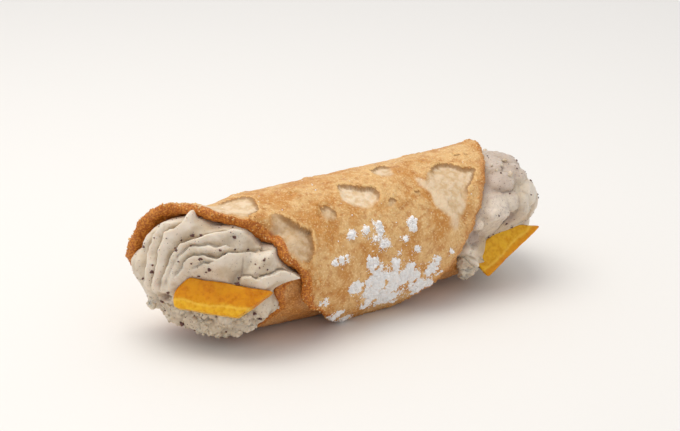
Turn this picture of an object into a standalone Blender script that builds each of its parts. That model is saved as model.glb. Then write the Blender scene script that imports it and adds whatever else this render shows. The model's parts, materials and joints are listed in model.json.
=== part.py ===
"""A Sicilian cannolo lying on its lap: a fried pastry shell, its ricotta filling and two candied peels.

Metres, +Z up. The shell's axis runs along X, Y points away from the lapped side, and the origin is
on the resting plane under the middle of the piece. The shell is one soft-cornered square of dough,
wrapped corner to corner round a tube and fried. Two of its corners make the slanting mouths, and the
other two overlap at the front, where the outer one is the flap that everyone sees.

Angles round the axis, called turns here, start at the top and grow towards the front (-Y).
"""

import math

import bmesh
import bpy
from mathutils import Matrix, Vector

# --- Driving dimensions -------------------------------------------------------------------------
AXIS_HEIGHT = 0.0200          # shell axis above the resting plane
SHELL_RADIUS = 0.0194         # outer radius at the middle of the dough
WALL = 0.0027                 # thickness of the fried dough
LAYER_STEP = 0.0036           # growth of the radius over one whole turn: the wall and a thin gap
NEAR_HALF_WIDTH = 0.0605      # from the middle of the dough to the corner at the near mouth
FAR_HALF_WIDTH = 0.0612       # and at the far one
WRAP_HALF_TURN = math.radians(246)    # from the middle of the dough to either lapping corner
DOUGH_MIDDLE_TURN = math.radians(-78)  # where the middle of the dough lies, round the back
CORNER_SOFTNESS = 1.27        # superellipse exponent: 1 is a true square, 2 an ellipse
SPLIT = "ALTERNATE"           # splits each cell of the dough along the shell, which keeps it round
DOUGH_CELLS = 29              # mesh cells along one side of the dough

RIM_CURL = 0.0008             # how far the fried edge curls outwards
RIM_CURL_POWER = 9            # how suddenly it does so on the way to the edge
CURL_START = (-0.6, -0.3)     # the hidden lap, below these places round the dough, stays uncurled
ON_EDGE = 0.999               # nearness to the cut edge from which a point belongs to the rim
SHORT_REACH = 0.008           # a strip of dough shorter than this keeps its straight edge

# The near edge of the outer layer wanders in and out as it fries: by how much it moves outwards,
# at which turn, and over how wide a turn to either side.
NEAR_EDGE_WANDER = (
    (-0.0060, math.radians(47), math.radians(34)),
    (-0.0033, math.radians(83), math.radians(20)),
    (0.0022, math.radians(111), math.radians(14)),
)
# The wall swells and sinks as a whole: rise, place along X and reach along it, turn and its reach.
WALL_WAVES = (
    (-0.0018, -0.0415, 0.0090, math.radians(-8), math.radians(60)),
    (0.0016, -0.0570, 0.0090, math.radians(-35), math.radians(50)),
    (0.0007, 0.0120, 0.0160, math.radians(15), math.radians(45)),
    (-0.0006, 0.0330, 0.0100, math.radians(70), math.radians(50)),
)

BASE_SAG = 0.0024             # the underside bulges by this, and is flat where it meets the plane
BASE_SAG_TURN = math.radians(38)
BASE_SAG_HALF_LENGTH = 0.040

CLEARANCE = 0.00035           # gap between pieces that touch
BORE_SLACK = 0.0006           # further gap between the filling and the faceted bore
CREAM_LIFT = 0.0002           # height that sagging cream keeps above the resting plane

BLISTER_REACH = 1.1           # a pan's slope ends at this many times its half size
LIP_RISE = 0.3                # height of the lip round a pan, as a share of its depth
LIP_PLACE = (1.2, 0.45)       # where the lip's crest runs and how wide it is, in half sizes
# Blisters are shallow pans left by burst bubbles: middle along X, middle turn, half length,
# half width round the shell, depth and twist out of line with the axis.
BLISTERS = (
    (-0.0275, math.radians(58), 0.0080, 0.0062, 0.0013, math.radians(-35)),
    (-0.0020, math.radians(31), 0.0072, 0.0044, 0.0011, math.radians(-18)),
    (0.0118, math.radians(13), 0.0050, 0.0026, 0.0007, 0.0),
    (0.0292, math.radians(46), 0.0090, 0.0082, 0.0012, math.radians(-30)),
    (-0.0410, math.radians(12), 0.0068, 0.0060, 0.0006, 0.0),
    (-0.0180, math.radians(-70), 0.0090, 0.0060, 0.0010, math.radians(20)),
    (0.0240, math.radians(-95), 0.0075, 0.0055, 0.0009, math.radians(-25)),
)

# --- Filling ------------------------------------------------------------------------------------
FILLING_SEGMENTS = 50
FILLING_RINGS = 44
BODY_SHARE = 4 / FILLING_RINGS  # share of the way from the middle to a tip where the body ends
MOUTH_SHARE = 6 / FILLING_RINGS  # and where the cream leaves the shell
BODY_STEP = math.radians(63)  # turn over which the body steps in under the hidden lap
MOUTH_STEP = math.radians(32)  # and the ring at a mouth, from the outer lap to the inner
MOUTH_YAW = math.radians(40)  # how far each mouth turns towards the front
NEAR_BULGE = 0.0122           # how far the cream swells out of each mouth
FAR_BULGE = 0.0198
NEAR_FULLNESS = 0.82          # below 1 the cream leaves the mouth more steeply than a round dome
FAR_FULLNESS = 1.0
NEAR_HEART = (0.006, -0.005)  # the spot the piped folds ring, sideways and up from the mouth's middle
FAR_HEART = (0.0, 0.0015)
OVERFLOW = 0.0023             # how far the cream slumps out over the rim at the bottom
OVERFLOW_SPREAD = math.radians(95)
NEAR_PROUD = 0.0015           # how far the near cream stands out past the rim at its upper right
NEAR_PROUD_TURN = math.radians(55)
NEAR_PROUD_SPREAD = math.radians(70)

FOLD_DEPTH = 0.0019           # relief of the piped folds
FOLD_FRONT = 0.0020           # width of a fold's steep side
FOLD_BACK = 0.0036            # and of its gentle one
FOLDS_BEGIN = math.radians(25)  # heading from the heart, off its right, where the near folds fade in
FOLDS_FULL = math.radians(70)
RELIEF_RISE = (0.1, 0.4)      # angle up the bulge over which its relief fades in from the ring
NEAR_FOLDS = (0.0262, 0.0210, 0.0160)  # distance of each crest from the heart
FAR_FOLDS = (0.0115, 0.0050, -0.0020, -0.0090)  # height of each crest over the mouth's middle
FAR_FOLD_DROOP = 0.35         # how steeply the far folds run down towards the front
LOBE = (0.0120, 0.0050, 0.0105, 0.0050)        # smooth lobe: sideways, up and its two reaches
LOBE_RISE = 0.0016
LEDGE = (0.0, -0.0145, 0.0200, 0.0030)         # ledge under the near peel, likewise
LEDGE_RISE = 0.0015

# --- Candied orange peel ------------------------------------------------------------------------
PEEL_THICKNESS = 0.0036
PEEL_EDGE = 0.0006            # rounding of its cut edges
PEEL_CELLS = 6
PEEL_BEND = 5.0               # curvature of the rind, one over metres

# Each strip's length and width and the slants of its two cut ends, then its middle, the way its
# rind faces and the way it runs.
PEELS = {
    "candied_peel_near": {
        "shape": (0.0210, 0.0090, 0.30, 0.95),
        "place": ((-0.0508, -0.0132, 0.0176), (-0.634, -0.590, 0.500), (0.650, -0.757, -0.069)),
    },
    "candied_peel_far": {
        "shape": (0.0180, 0.0088, 0.0, -0.95),
        "place": ((0.0462, -0.0166, 0.0136), (-0.362, -0.879, 0.310), (0.793, -0.115, 0.599)),
    },
}

COLOURS = {
    "pastry_shell": ((0.560, 0.290, 0.105), 0.62),
    "ricotta_filling": ((0.745, 0.690, 0.620), 0.48),
    "candied_peel_near": ((0.800, 0.330, 0.012), 0.22),
    "candied_peel_far": ((0.800, 0.330, 0.012), 0.22),
}


# --- Helpers ------------------------------------------------------------------------------------
def smooth(low, high, value):
    """0 below low, 1 above high, and an even slope between."""
    share = min(1.0, max(0.0, (value - low) / (high - low)))
    return share * share * (3 - 2 * share)


def bell(distance):
    """1 at distance 0, falling smoothly to 0 at distance 1 and beyond."""
    return 1 - smooth(0.0, 1.0, abs(distance))


def make_object(name, bm, collection):
    """Turns a bmesh into a smooth-shaded object with the piece's own material."""
    if bm.calc_volume(signed=True) < 0:
        bmesh.ops.reverse_faces(bm, faces=bm.faces[:])
    mesh = bpy.data.meshes.new(name)
    bm.to_mesh(mesh)
    bm.free()
    mesh.shade_smooth()
    mesh.set_sharp_from_angle(angle=math.radians(50))
    piece = bpy.data.objects.new(name, mesh)
    collection.objects.link(piece)
    if name in COLOURS:
        mesh.materials.append(principled(name, *COLOURS[name]))
    return piece


def principled(name, colour, roughness):
    """A plain material of one colour."""
    material = bpy.data.materials.new(name)
    material.use_nodes = True
    shader = material.node_tree.nodes["Principled BSDF"]
    shader.inputs["Base Color"].default_value = (*colour, 1.0)
    shader.inputs["Roughness"].default_value = roughness
    shader.inputs["Metallic"].default_value = 0.0
    material.diffuse_color = (*colour, 1.0)
    return material


def round_axis(along, turn, radius):
    """The point at that place along X, turn and distance from the shell's axis."""
    return Vector((along, -radius * math.sin(turn), AXIS_HEIGHT + radius * math.cos(turn)))


# --- Pastry shell -------------------------------------------------------------------------------
def soft_square(a, b):
    """Places a grid point of the square, -1 to 1 each way, on the dough seen corner upwards.

    Returns its place across, towards the mouths, its place round, towards the laps, and how near it
    is to the cut edge, where 1 is on the edge. The corners are rounded off by a superellipse.
    """
    across, around = (a - b) / 2, (a + b) / 2
    edge = max(abs(a), abs(b))
    norm = (abs(across) ** CORNER_SOFTNESS + abs(around) ** CORNER_SOFTNESS) ** (1 / CORNER_SOFTNESS)
    stretch = 1 + (edge / norm - 1) * edge * edge if norm > 0 else 1.0
    return across * stretch, around * stretch, edge


def edge_direction(across, around):
    """Unit vector in the flat dough, along X and along the wrap, that points out over its edge."""
    wrap_length = SHELL_RADIUS * WRAP_HALF_TURN
    out = Vector((
        math.copysign(abs(across) ** (CORNER_SOFTNESS - 1), across) / half_width(across),
        math.copysign(abs(around) ** (CORNER_SOFTNESS - 1), around) / wrap_length,
    ))
    return out.normalized()


def blister_relief(along, turn):
    """How far the outer skin sinks or rises there, from the burst bubbles."""
    relief = 0.0
    for middle, middle_turn, half_length, half_width, depth, twist in BLISTERS:
        offset = Vector((along - middle, SHELL_RADIUS * (turn - middle_turn)))
        offset.rotate(Matrix.Rotation(twist, 2))
        distance = math.hypot(offset.x / half_length, offset.y / half_width)
        relief -= depth * bell(distance / BLISTER_REACH)
        relief += LIP_RISE * depth * bell((distance - LIP_PLACE[0]) / LIP_PLACE[1])
    return relief


def wrapped_radius(turn):
    """Outer radius of the spiral wrap, without relief. Turn counts on past a whole turn."""
    return SHELL_RADIUS + LAYER_STEP * (turn - DOUGH_MIDDLE_TURN) / math.tau


def base_sag(along, turn):
    """Extra radius where the shell's underside slumps on to the plane."""
    from_base = abs((turn % math.tau) - math.pi) / BASE_SAG_TURN
    return BASE_SAG * bell(from_base) * bell(along / BASE_SAG_HALF_LENGTH) ** 0.5


def half_width(side):
    """From the middle of the dough to the corner at the near mouth, for a side below 0, or the far."""
    return NEAR_HALF_WIDTH if side < 0 else FAR_HALF_WIDTH


def edge_wander(side, turn):
    """How far the outer layer's cut edge stands out or in from its smooth line, at that mouth."""
    if side > 0:
        return 0.0
    return sum(move * bell((turn - middle) / reach) for move, middle, reach in NEAR_EDGE_WANDER)


def wall_wave(along, turn):
    """How far the whole wall stands out or in at that place."""
    return sum(
        rise * bell((along - middle) / reach) * bell((turn - middle_turn) / turn_reach)
        for rise, middle, reach, middle_turn, turn_reach in WALL_WAVES
    )


def dough_point(a, b, layer, swell=0.0):
    """A point of the wrapped dough. Layer is 1 on the outer skin, -1 on the inner, between on the rim.

    Swell thickens the dough all round, for the cutter that keeps other pieces clear of it.
    """
    across, around, edge = soft_square(a, b)
    half_wall = WALL / 2 + swell
    rounding = half_wall * math.sqrt(max(0.0, 1 - layer * layer)) if edge > ON_EDGE else 0.0
    out = edge_direction(across, around) if edge > ON_EDGE else Vector((0.0, 0.0))
    over = rounding + (swell if edge > ON_EDGE else 0.0)
    turn = DOUGH_MIDDLE_TURN + WRAP_HALF_TURN * around + out.y * over / SHELL_RADIUS
    reach = half_width(across) * (1 - abs(around) ** CORNER_SOFTNESS) ** (1 / CORNER_SOFTNESS)
    moved = 1 - edge_wander(across, turn) / reach if reach > SHORT_REACH else 1.0
    along = half_width(across) * across * (2 - moved) + out.x * over
    curls = smooth(*CURL_START, around)
    radius = wrapped_radius(turn) - WALL / 2 + half_wall * layer
    radius += RIM_CURL * edge ** RIM_CURL_POWER * curls * (0.6 + 0.4 * layer)
    radius += base_sag(along, turn) + wall_wave(along, turn)
    if layer > 0:
        radius += blister_relief(along, turn) * layer
    point = round_axis(along, turn, radius)
    point.z = max(point.z, -swell)
    return point


def dough_slab(cells, rim_cuts):
    """A flat square slab from -1 to 1 each way. Its z is the layer: -1 inside the wrap, 1 outside."""
    bm = bmesh.new()
    bmesh.ops.create_grid(bm, x_segments=cells, y_segments=cells, size=1.0)
    bmesh.ops.translate(bm, verts=bm.verts, vec=(0, 0, -1))
    top = bmesh.ops.extrude_face_region(bm, geom=bm.faces[:], use_keep_orig=True)
    top_verts = [item for item in top["geom"] if isinstance(item, bmesh.types.BMVert)]
    bmesh.ops.translate(bm, verts=top_verts, vec=(0, 0, 2))
    rim_edges = [edge for edge in bm.edges if abs(edge.verts[0].co.z - edge.verts[1].co.z) > 1]
    bmesh.ops.subdivide_edges(bm, edges=rim_edges, cuts=rim_cuts)
    bmesh.ops.recalc_face_normals(bm, faces=bm.faces[:])
    bmesh.ops.triangulate(bm, faces=bm.faces[:], quad_method=SPLIT)
    return bm


def wrap_dough(bm, swell=0.0):
    """Moves every point of the flat slab to its place in the wrapped shell."""
    for vert in bm.verts:
        vert.co = dough_point(vert.co.x, vert.co.y, vert.co.z, swell)
    return bm


# --- Ricotta filling ----------------------------------------------------------------------------
def layer_reaches(turn, side):
    """How far the layers of dough at that turn reach towards one mouth, the farthest one last."""
    reaches = [0.0, 0.0]
    for whole in (-1, 0, 1):
        around = abs(turn + whole * math.tau - DOUGH_MIDDLE_TURN) / WRAP_HALF_TURN
        if around < 1:
            width = half_width(side) * (1 - around ** CORNER_SOFTNESS) ** (1 / CORNER_SOFTNESS)
            reaches.append(width + edge_wander(side, turn + whole * math.tau))
    return sorted(reaches)


def bore_radius(turn, first_turn, step):
    """Inner radius of one layer, eased over a step where that layer ends and the next one begins.

    First turn is where the layer begins, counted back from the middle of the dough.
    """
    from_middle = (turn - DOUGH_MIDDLE_TURN + first_turn) % math.tau - first_turn
    end = math.tau - first_turn
    eased = from_middle - math.tau * smooth(end - step, end, from_middle)
    return SHELL_RADIUS + LAYER_STEP * eased / math.tau - WALL - BORE_SLACK


def mouth_axes(side):
    """Unit vectors out of a mouth and to the right for someone facing it. Side is -1 near, 1 far."""
    out = Vector((side * math.cos(MOUTH_YAW), -math.sin(MOUTH_YAW), 0))
    return out, Vector((-out.y, out.x, 0))


def mouth_middle(side):
    """The middle of the cream's ring at that mouth."""
    turns = [math.tau * step / FILLING_SEGMENTS for step in range(FILLING_SEGMENTS)]
    ring = [mouth_ring_point(turn, side) for turn in turns]
    return sum(ring, Vector()) / len(ring)


def mouth_ring_point(turn, side):
    """Where the cream leaves the shell at that turn, a little proud of the rim in one place."""
    reach = layer_reaches(turn, side)[-1]
    if side < 0:
        from_proud = (turn - NEAR_PROUD_TURN + math.pi) % math.tau - math.pi
        reach += NEAR_PROUD * bell(from_proud / NEAR_PROUD_SPREAD)
    return round_axis(side * reach, turn, bore_radius(turn, math.pi, MOUTH_STEP))


def body_point(turn, side, share):
    """A point of the body, which stays under the hidden lap until that lap has ended."""
    under, farthest = layer_reaches(turn, side)[-2:]
    along = side * (under + farthest) / 2 * share / BODY_SHARE
    return round_axis(along, turn, bore_radius(turn, WRAP_HALF_TURN, BODY_STEP))


def fold(distance):
    """A piped fold's profile: 1 on its crest, steep on the side below 0 and gentle on the other."""
    if distance < 0:
        return bell(distance / FOLD_FRONT)
    return bell(distance / FOLD_BACK)


def mound(sideways, height, place):
    """1 in the middle of a rounded swelling, falling to 0 at its reach to the side and upwards."""
    middle, middle_height, reach, reach_height = place
    return bell(math.hypot((sideways - middle) / reach, (height - middle_height) / reach_height))


def near_relief(sideways, height):
    """Folds that ring the heart on its upper left, a smooth lobe on its right and a ledge below."""
    offset = Vector((sideways, height)) - Vector(NEAR_HEART)
    heading = math.atan2(offset.y, offset.x)
    on_folds = smooth(FOLDS_BEGIN, FOLDS_FULL, abs(heading))
    relief = FOLD_DEPTH * on_folds * max(fold(offset.length - crest) for crest in NEAR_FOLDS)
    relief += LOBE_RISE * mound(sideways, height, LOBE)
    return relief + LEDGE_RISE * mound(sideways, height, LEDGE)


def far_relief(sideways, height):
    """Folds laid one above another, each drooping towards the front."""
    level = height - FAR_FOLD_DROOP * sideways
    return FOLD_DEPTH * max(fold(level - crest) for crest in FAR_FOLDS)


def filling_point(turn, latitude, middles):
    """A point of the filling. Latitude runs from -1, the tip of the near bulge, to 1, the far one."""
    side = -1 if latitude < 0 else 1
    share = abs(latitude)
    if share < (BODY_SHARE + MOUTH_SHARE) / 2:
        return body_point(turn, side, share)
    ring = mouth_ring_point(turn, side)
    rise = max(0.0, share - MOUTH_SHARE) / (1 - MOUTH_SHARE) * math.pi / 2
    out, sideways = mouth_axes(side)
    heart = NEAR_HEART if side < 0 else FAR_HEART
    bulge = NEAR_BULGE if side < 0 else FAR_BULGE
    fullness = NEAR_FULLNESS if side < 0 else FAR_FULLNESS
    middle = middles[side] + sideways * heart[0] + Vector((0, 0, heart[1]))
    from_bottom = abs((turn % math.tau) - math.pi)
    spill = OVERFLOW * bell(from_bottom / OVERFLOW_SPREAD) * math.sin(2 * rise)
    point = middle + (ring - middle) * math.cos(rise) ** fullness
    point += (ring - middle).normalized() * spill + out * bulge * math.sin(rise) ** fullness
    offset = point - middles[side]
    relief = near_relief if side < 0 else far_relief
    raised = relief(offset.dot(sideways), offset.z) * smooth(*RELIEF_RISE, rise)
    point += (out + (ring - middle).normalized() * math.cos(rise)).normalized() * raised
    point.z = max(point.z, CREAM_LIFT)
    return point


def filling_mesh():
    """A sphere whose poles lie on X, with every point moved to its place in the filling."""
    bm = bmesh.new()
    bmesh.ops.create_uvsphere(bm, u_segments=FILLING_SEGMENTS, v_segments=FILLING_RINGS, radius=1.0)
    middles = {side: mouth_middle(side) for side in (-1, 1)}
    for vert in bm.verts:
        latitude = math.asin(max(-1.0, min(1.0, vert.co.z))) / (math.pi / 2)
        turn = math.atan2(vert.co.y, vert.co.x)
        vert.co = filling_point(turn, latitude, middles)
    return bm


# --- Candied peel -------------------------------------------------------------------------------
def peel_mesh(length, width, start_slant, end_slant, swell=0.0):
    """A bent plank of peel: x along it, y across it and z out of its rind, its ends cut on a slant."""
    bm = bmesh.new()
    bmesh.ops.create_cube(bm, size=1.0)
    long_edges = [e for e in bm.edges if abs(e.verts[0].co.x - e.verts[1].co.x) > 0.5]
    bmesh.ops.subdivide_edges(bm, edges=long_edges, cuts=PEEL_CELLS - 1, use_grid_fill=True)
    for vert in bm.verts:
        x = vert.co.x * (length + 2 * swell)
        y = vert.co.y * (width + 2 * swell)
        z = vert.co.z * (PEEL_THICKNESS + 2 * swell)
        slant = start_slant if x < 0 else end_slant
        x += slant * y * abs(2 * vert.co.x)
        vert.co = Vector((x, y, z - PEEL_BEND * x * x))
    sharp = [e for e in bm.edges if e.calc_face_angle(0.0) > math.radians(30)]
    bmesh.ops.bevel(
        bm, geom=sharp, offset=PEEL_EDGE, segments=2, profile=0.5, affect="EDGES", material=-1
    )
    return bm


def peel_place(middle, face, along):
    """Matrix that sets a peel's middle, its outward face and its long direction."""
    face = Vector(face).normalized()
    along = Vector(along)
    along = (along - face * along.dot(face)).normalized()
    across = face.cross(along)
    turn = Matrix((along, across, face)).transposed().to_4x4()
    return Matrix.Translation(middle) @ turn


# --- Assembly -----------------------------------------------------------------------------------
def subtract(piece, cutter):
    """Cuts one piece back from another with a live Boolean modifier, exact solver."""
    cut = piece.modifiers.new("clear_of_" + cutter.name, "BOOLEAN")
    cut.operation = "DIFFERENCE"
    cut.solver = "EXACT"
    cut.object = cutter


def as_cutter(piece):
    piece.hide_render = True
    piece.display_type = "WIRE"
    return piece


def main():
    for stale in list(bpy.data.objects):
        bpy.data.objects.remove(stale)
    cannolo = bpy.data.collections.new("cannolo")
    cutters = bpy.data.collections.new("cutters")
    for collection in (cannolo, cutters):
        bpy.context.scene.collection.children.link(collection)

    make_object("pastry_shell", wrap_dough(dough_slab(DOUGH_CELLS, 1)), cannolo)
    filling = make_object("ricotta_filling", filling_mesh(), cannolo)
    swollen = wrap_dough(dough_slab(DOUGH_CELLS, 1), swell=CLEARANCE)
    subtract(filling, as_cutter(make_object("shell_clearance", swollen, cutters)))
    for name, peel in PEELS.items():
        place = peel_place(*peel["place"])
        make_object(name, peel_mesh(*peel["shape"]), cannolo).matrix_world = place
        pocket = make_object(name + "_pocket", peel_mesh(*peel["shape"], swell=CLEARANCE), cutters)
        pocket.matrix_world = place
        subtract(filling, as_cutter(pocket))


main()
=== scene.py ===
# %% [markdown]
# # A Sicilian cannolo
# A soft-cornered square of dough is wrapped corner to corner round a tube and fried, then filled from both
# ends with sweet ricotta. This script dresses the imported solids: it loads them, keeps their sizes, and puts
# a finely modelled piece in the place of each one. Lengths are in metres, or in millimetres where a name
# or a comment says so, and the shell's axis runs along X.

# %% Load the solids and keep their box
import functools
import json
import math

import bmesh
import bpy
import numpy as np
from mathutils import Matrix, Vector, noise
from mathutils.bvhtree import BVHTree

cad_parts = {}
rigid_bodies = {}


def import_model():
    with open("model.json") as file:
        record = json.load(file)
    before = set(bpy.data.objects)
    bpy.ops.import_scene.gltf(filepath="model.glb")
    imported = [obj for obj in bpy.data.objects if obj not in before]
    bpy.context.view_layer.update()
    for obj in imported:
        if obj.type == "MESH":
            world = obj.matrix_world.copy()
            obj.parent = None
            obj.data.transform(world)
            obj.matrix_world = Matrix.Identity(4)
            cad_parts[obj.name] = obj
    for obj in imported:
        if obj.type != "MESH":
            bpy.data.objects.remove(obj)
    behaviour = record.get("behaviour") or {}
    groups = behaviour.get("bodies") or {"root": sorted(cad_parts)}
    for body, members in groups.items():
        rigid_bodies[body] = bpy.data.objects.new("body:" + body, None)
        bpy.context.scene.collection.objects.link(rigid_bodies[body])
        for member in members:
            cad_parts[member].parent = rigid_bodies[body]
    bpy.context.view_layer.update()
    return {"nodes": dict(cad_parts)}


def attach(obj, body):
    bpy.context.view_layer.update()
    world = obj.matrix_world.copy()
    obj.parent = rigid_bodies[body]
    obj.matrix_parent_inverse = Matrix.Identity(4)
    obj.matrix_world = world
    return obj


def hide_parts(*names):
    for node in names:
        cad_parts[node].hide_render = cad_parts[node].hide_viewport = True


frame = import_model()
MM = 0.001
print("solids:", sorted(frame["nodes"]))

# %% [markdown]
# ## Small helpers
# Every colour below is an sRGB hex value, as a colour picker shows it, while shaders want linear light, so
# one function converts. Another adds a node with its settings and links, which keeps each material as short
# as a recipe. Shapes are written with two curves: an even step between 0 and 1, and a bell made from it.

# %% Colours and nodes
def linear(hex_colour):
    """The linear RGBA of an sRGB hex colour."""
    shares = [int(hex_colour[i:i + 2], 16) / 255 for i in (1, 3, 5)]
    light = [s / 12.92 if s <= 0.04045 else ((s + 0.055) / 1.055) ** 2.4 for s in shares]
    return (*light, 1.0)


def fill(node, values):
    """Gives the inputs in use their values, in order or by name: numbers, hex colours, sockets or nodes."""
    if isinstance(values, dict):
        pairs = [(node.inputs[name], value) for name, value in values.items()]
    else:
        pairs = list(zip([socket for socket in node.inputs if socket.enabled], values))
    for socket, value in pairs:
        if isinstance(value, bpy.types.Node):
            value = next(output for output in value.outputs if output.enabled)
        if isinstance(value, bpy.types.NodeSocket):
            node.id_data.links.new(value, socket)
        elif isinstance(value, str) and value.startswith("#"):
            socket.default_value = linear(value)
        else:
            socket.default_value = value


def put(tree, kind, values=(), **settings):
    """Adds a node with its settings, values and links."""
    node = tree.nodes.new(kind)
    for name, value in settings.items():
        setattr(node, name, value)
    fill(node, values)
    return node


def new_material(name):
    """A material with what its recipe needs: a way to add nodes, its shader, and the place on the piece."""
    material = bpy.data.materials.new(name)
    material.use_nodes = True
    add = functools.partial(put, material.node_tree)
    place = add("ShaderNodeTexCoord").outputs["Object"]
    return material, add, material.node_tree.nodes["Principled BSDF"], place


# %% Curves that work on numbers and on whole arrays of numbers
NOISE_SEED = 4
noise.seed_set(NOISE_SEED)    # without it, noise vectors start from the clock and differ on each run


def smooth(low, high, value):
    """0 below low, 1 above high, and an even slope between."""
    share = np.clip((value - low) / (high - low), 0.0, 1.0)
    return share * share * (3 - 2 * share)


def bell(distance):
    """1 at distance 0, falling smoothly to 0 at distance 1 and beyond."""
    return 1 - smooth(0.0, 1.0, np.abs(distance))


def lumps(points, size):
    """Perlin noise at each point, about -1 to 1, with lumps as far apart as size."""
    return np.array([noise.noise(place) for place in (points / size).tolist()])


def jolts(points, size):
    """A different random direction at each point, turning smoothly over a length of size."""
    return np.array([noise.noise_vector(place) for place in (points / size).tolist()])


def bubbles(points, size):
    """Domes packed side by side, each about size across: 1 on top, near 0 in the creases."""
    near = np.array([noise.voronoi(place)[0][0] for place in (points / size).tolist()])
    return np.clip(1 - near * near * 1.6, 0.0, 1.0)


# %% Points in and out of a mesh, and a finished piece from a bmesh
def read_points(mesh):
    points = np.empty(len(mesh.vertices) * 3)
    mesh.vertices.foreach_get("co", points)
    return points.reshape(-1, 3)


def store(mesh, name, values):
    """Keeps one number per point with the mesh, for its material to read."""
    layer = mesh.attributes.new(name, "FLOAT", "POINT")
    layer.data.foreach_set("value", np.ascontiguousarray(values, dtype=np.float32))


def new_mesh(name, bm):
    mesh = bpy.data.meshes.new(name)
    bm.to_mesh(mesh)
    bm.free()
    return mesh


def move_points(mesh, points):
    """Moves every point of the mesh, and turns its faces outwards if the move turned them inside out."""
    mesh.vertices.foreach_set("co", points.ravel())
    bm = bmesh.new()
    bm.from_mesh(mesh)
    if bm.calc_volume(signed=True) < 0:
        bmesh.ops.reverse_faces(bm, faces=bm.faces[:])
    bm.to_mesh(mesh)
    bm.free()
    mesh.shade_smooth()


def finish_piece(name, mesh, material, slot, *nodes):
    """Shows the mesh as a piece of the cannolo, in place of these solids."""
    mesh.materials.clear()
    mesh.materials.append(material)
    piece = bpy.data.objects.new(name, mesh)
    bpy.context.scene.collection.objects.link(piece)
    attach(piece, "root")
    if nodes:
        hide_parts(*nodes)
    mesh.calc_loop_triangles()
    print(name, len(mesh.loop_triangles), "triangles")


# %% [markdown]
# ## Camera, floor and light
# The cannolo lies on a pale floor under a big soft box, as in a small food studio. A long lens keeps the
# near and the far mouth close to the same size. The camera stands to the left and looks a little down, so
# both the near mouth and the whole flap can be seen.

# %% Camera
VIEW_AZIMUTH = math.radians(-34.9)
VIEW_ELEVATION = math.radians(19.88)
VIEW_DISTANCE = 0.6
LENS = 107.7                  # millimetres, on a sensor 36 mm wide
AIM_RIGHT, AIM_UP = -0.0007, 0.0073   # where the lens aims, off the middle of the shell


def view_axes(azimuth, elevation):
    """Unit vectors towards the camera, to its right and up its picture."""
    back = Vector((
        math.sin(azimuth) * math.cos(elevation),
        -math.cos(azimuth) * math.cos(elevation),
        math.sin(elevation),
    ))
    right = (-back).cross(Vector((0, 0, 1))).normalized()
    return back, right, right.cross(-back)


back, right, up = view_axes(VIEW_AZIMUTH, VIEW_ELEVATION)
camera = bpy.data.objects.new("camera", bpy.data.cameras.new("camera"))
camera.data.lens = LENS
camera.data.sensor_width = 36
camera.location = Vector((0, 0, 0.020)) + right * AIM_RIGHT + up * AIM_UP + back * VIEW_DISTANCE
camera.rotation_euler = back.to_track_quat("Z", "Y").to_euler()
bpy.context.scene.collection.objects.link(camera)
bpy.context.scene.camera = camera
print("camera at", [round(part, 3) for part in camera.location])

# %% Floor
FLOOR_HALF = 0.9
ROLLER_GRAIN = 0.004


def matt_paint(name, colour):
    """Matt studio paint: one pale colour with a faint roller texture of a few millimetres."""
    material, add, shader, place = new_material(name)
    grain = add("ShaderNodeTexNoise", {"Vector": place, "Scale": 1 / ROLLER_GRAIN})
    relief = add("ShaderNodeBump", {"Height": grain, "Strength": 0.05, "Distance": 0.0005})
    fill(shader, {"Base Color": colour, "Roughness": 0.8, "Normal": relief})
    return material


floor_bm = bmesh.new()
bmesh.ops.create_grid(floor_bm, x_segments=8, y_segments=8, size=FLOOR_HALF)
floor_mesh = new_mesh("studio_floor", floor_bm)
floor_mesh.materials.append(matt_paint("matt_floor_paint", "#EDEAE6"))
floor = bpy.data.objects.new("studio_floor", floor_mesh)
bpy.context.scene.collection.objects.link(floor)
print("floor", 2 * FLOOR_HALF, "m across")

# %% Lights
def softbox(name, place, size, power, colour):
    """A square area light at that place, facing the cannolo."""
    light = bpy.data.lights.new(name, "AREA")
    light.size = size
    light.energy = power
    light.color = linear(colour)[:3]
    lamp = bpy.data.objects.new(name, light)
    lamp.location = place
    lamp.rotation_euler = (Vector(place) - Vector((0, 0, 0.02))).to_track_quat("Z", "Y").to_euler()
    bpy.context.scene.collection.objects.link(lamp)


softbox("top_softbox", (-0.12, 0.10, 0.60), 0.50, 2.2, "#FFFBF2")
world = bpy.data.worlds.new("studio")
world.use_nodes = True
fill(world.node_tree.nodes["Background"], {"Color": "#F4F5F8", "Strength": 0.80})
bpy.context.scene.world = world
bpy.context.scene.view_settings.view_transform = "Standard"
print("lights:", [light.name for light in bpy.data.lights])

# %% [markdown]
# ## The wrapped dough
# The real shell is one thin sheet, so it is modelled as one: a flat square slab, standing on its corner,
# whose points are all moved to their place in the wrap. A grid of half-millimetre cells is fine enough for
# every blister to be real relief. The same few dimensions as in the solid model drive it, so the two agree.

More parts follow.
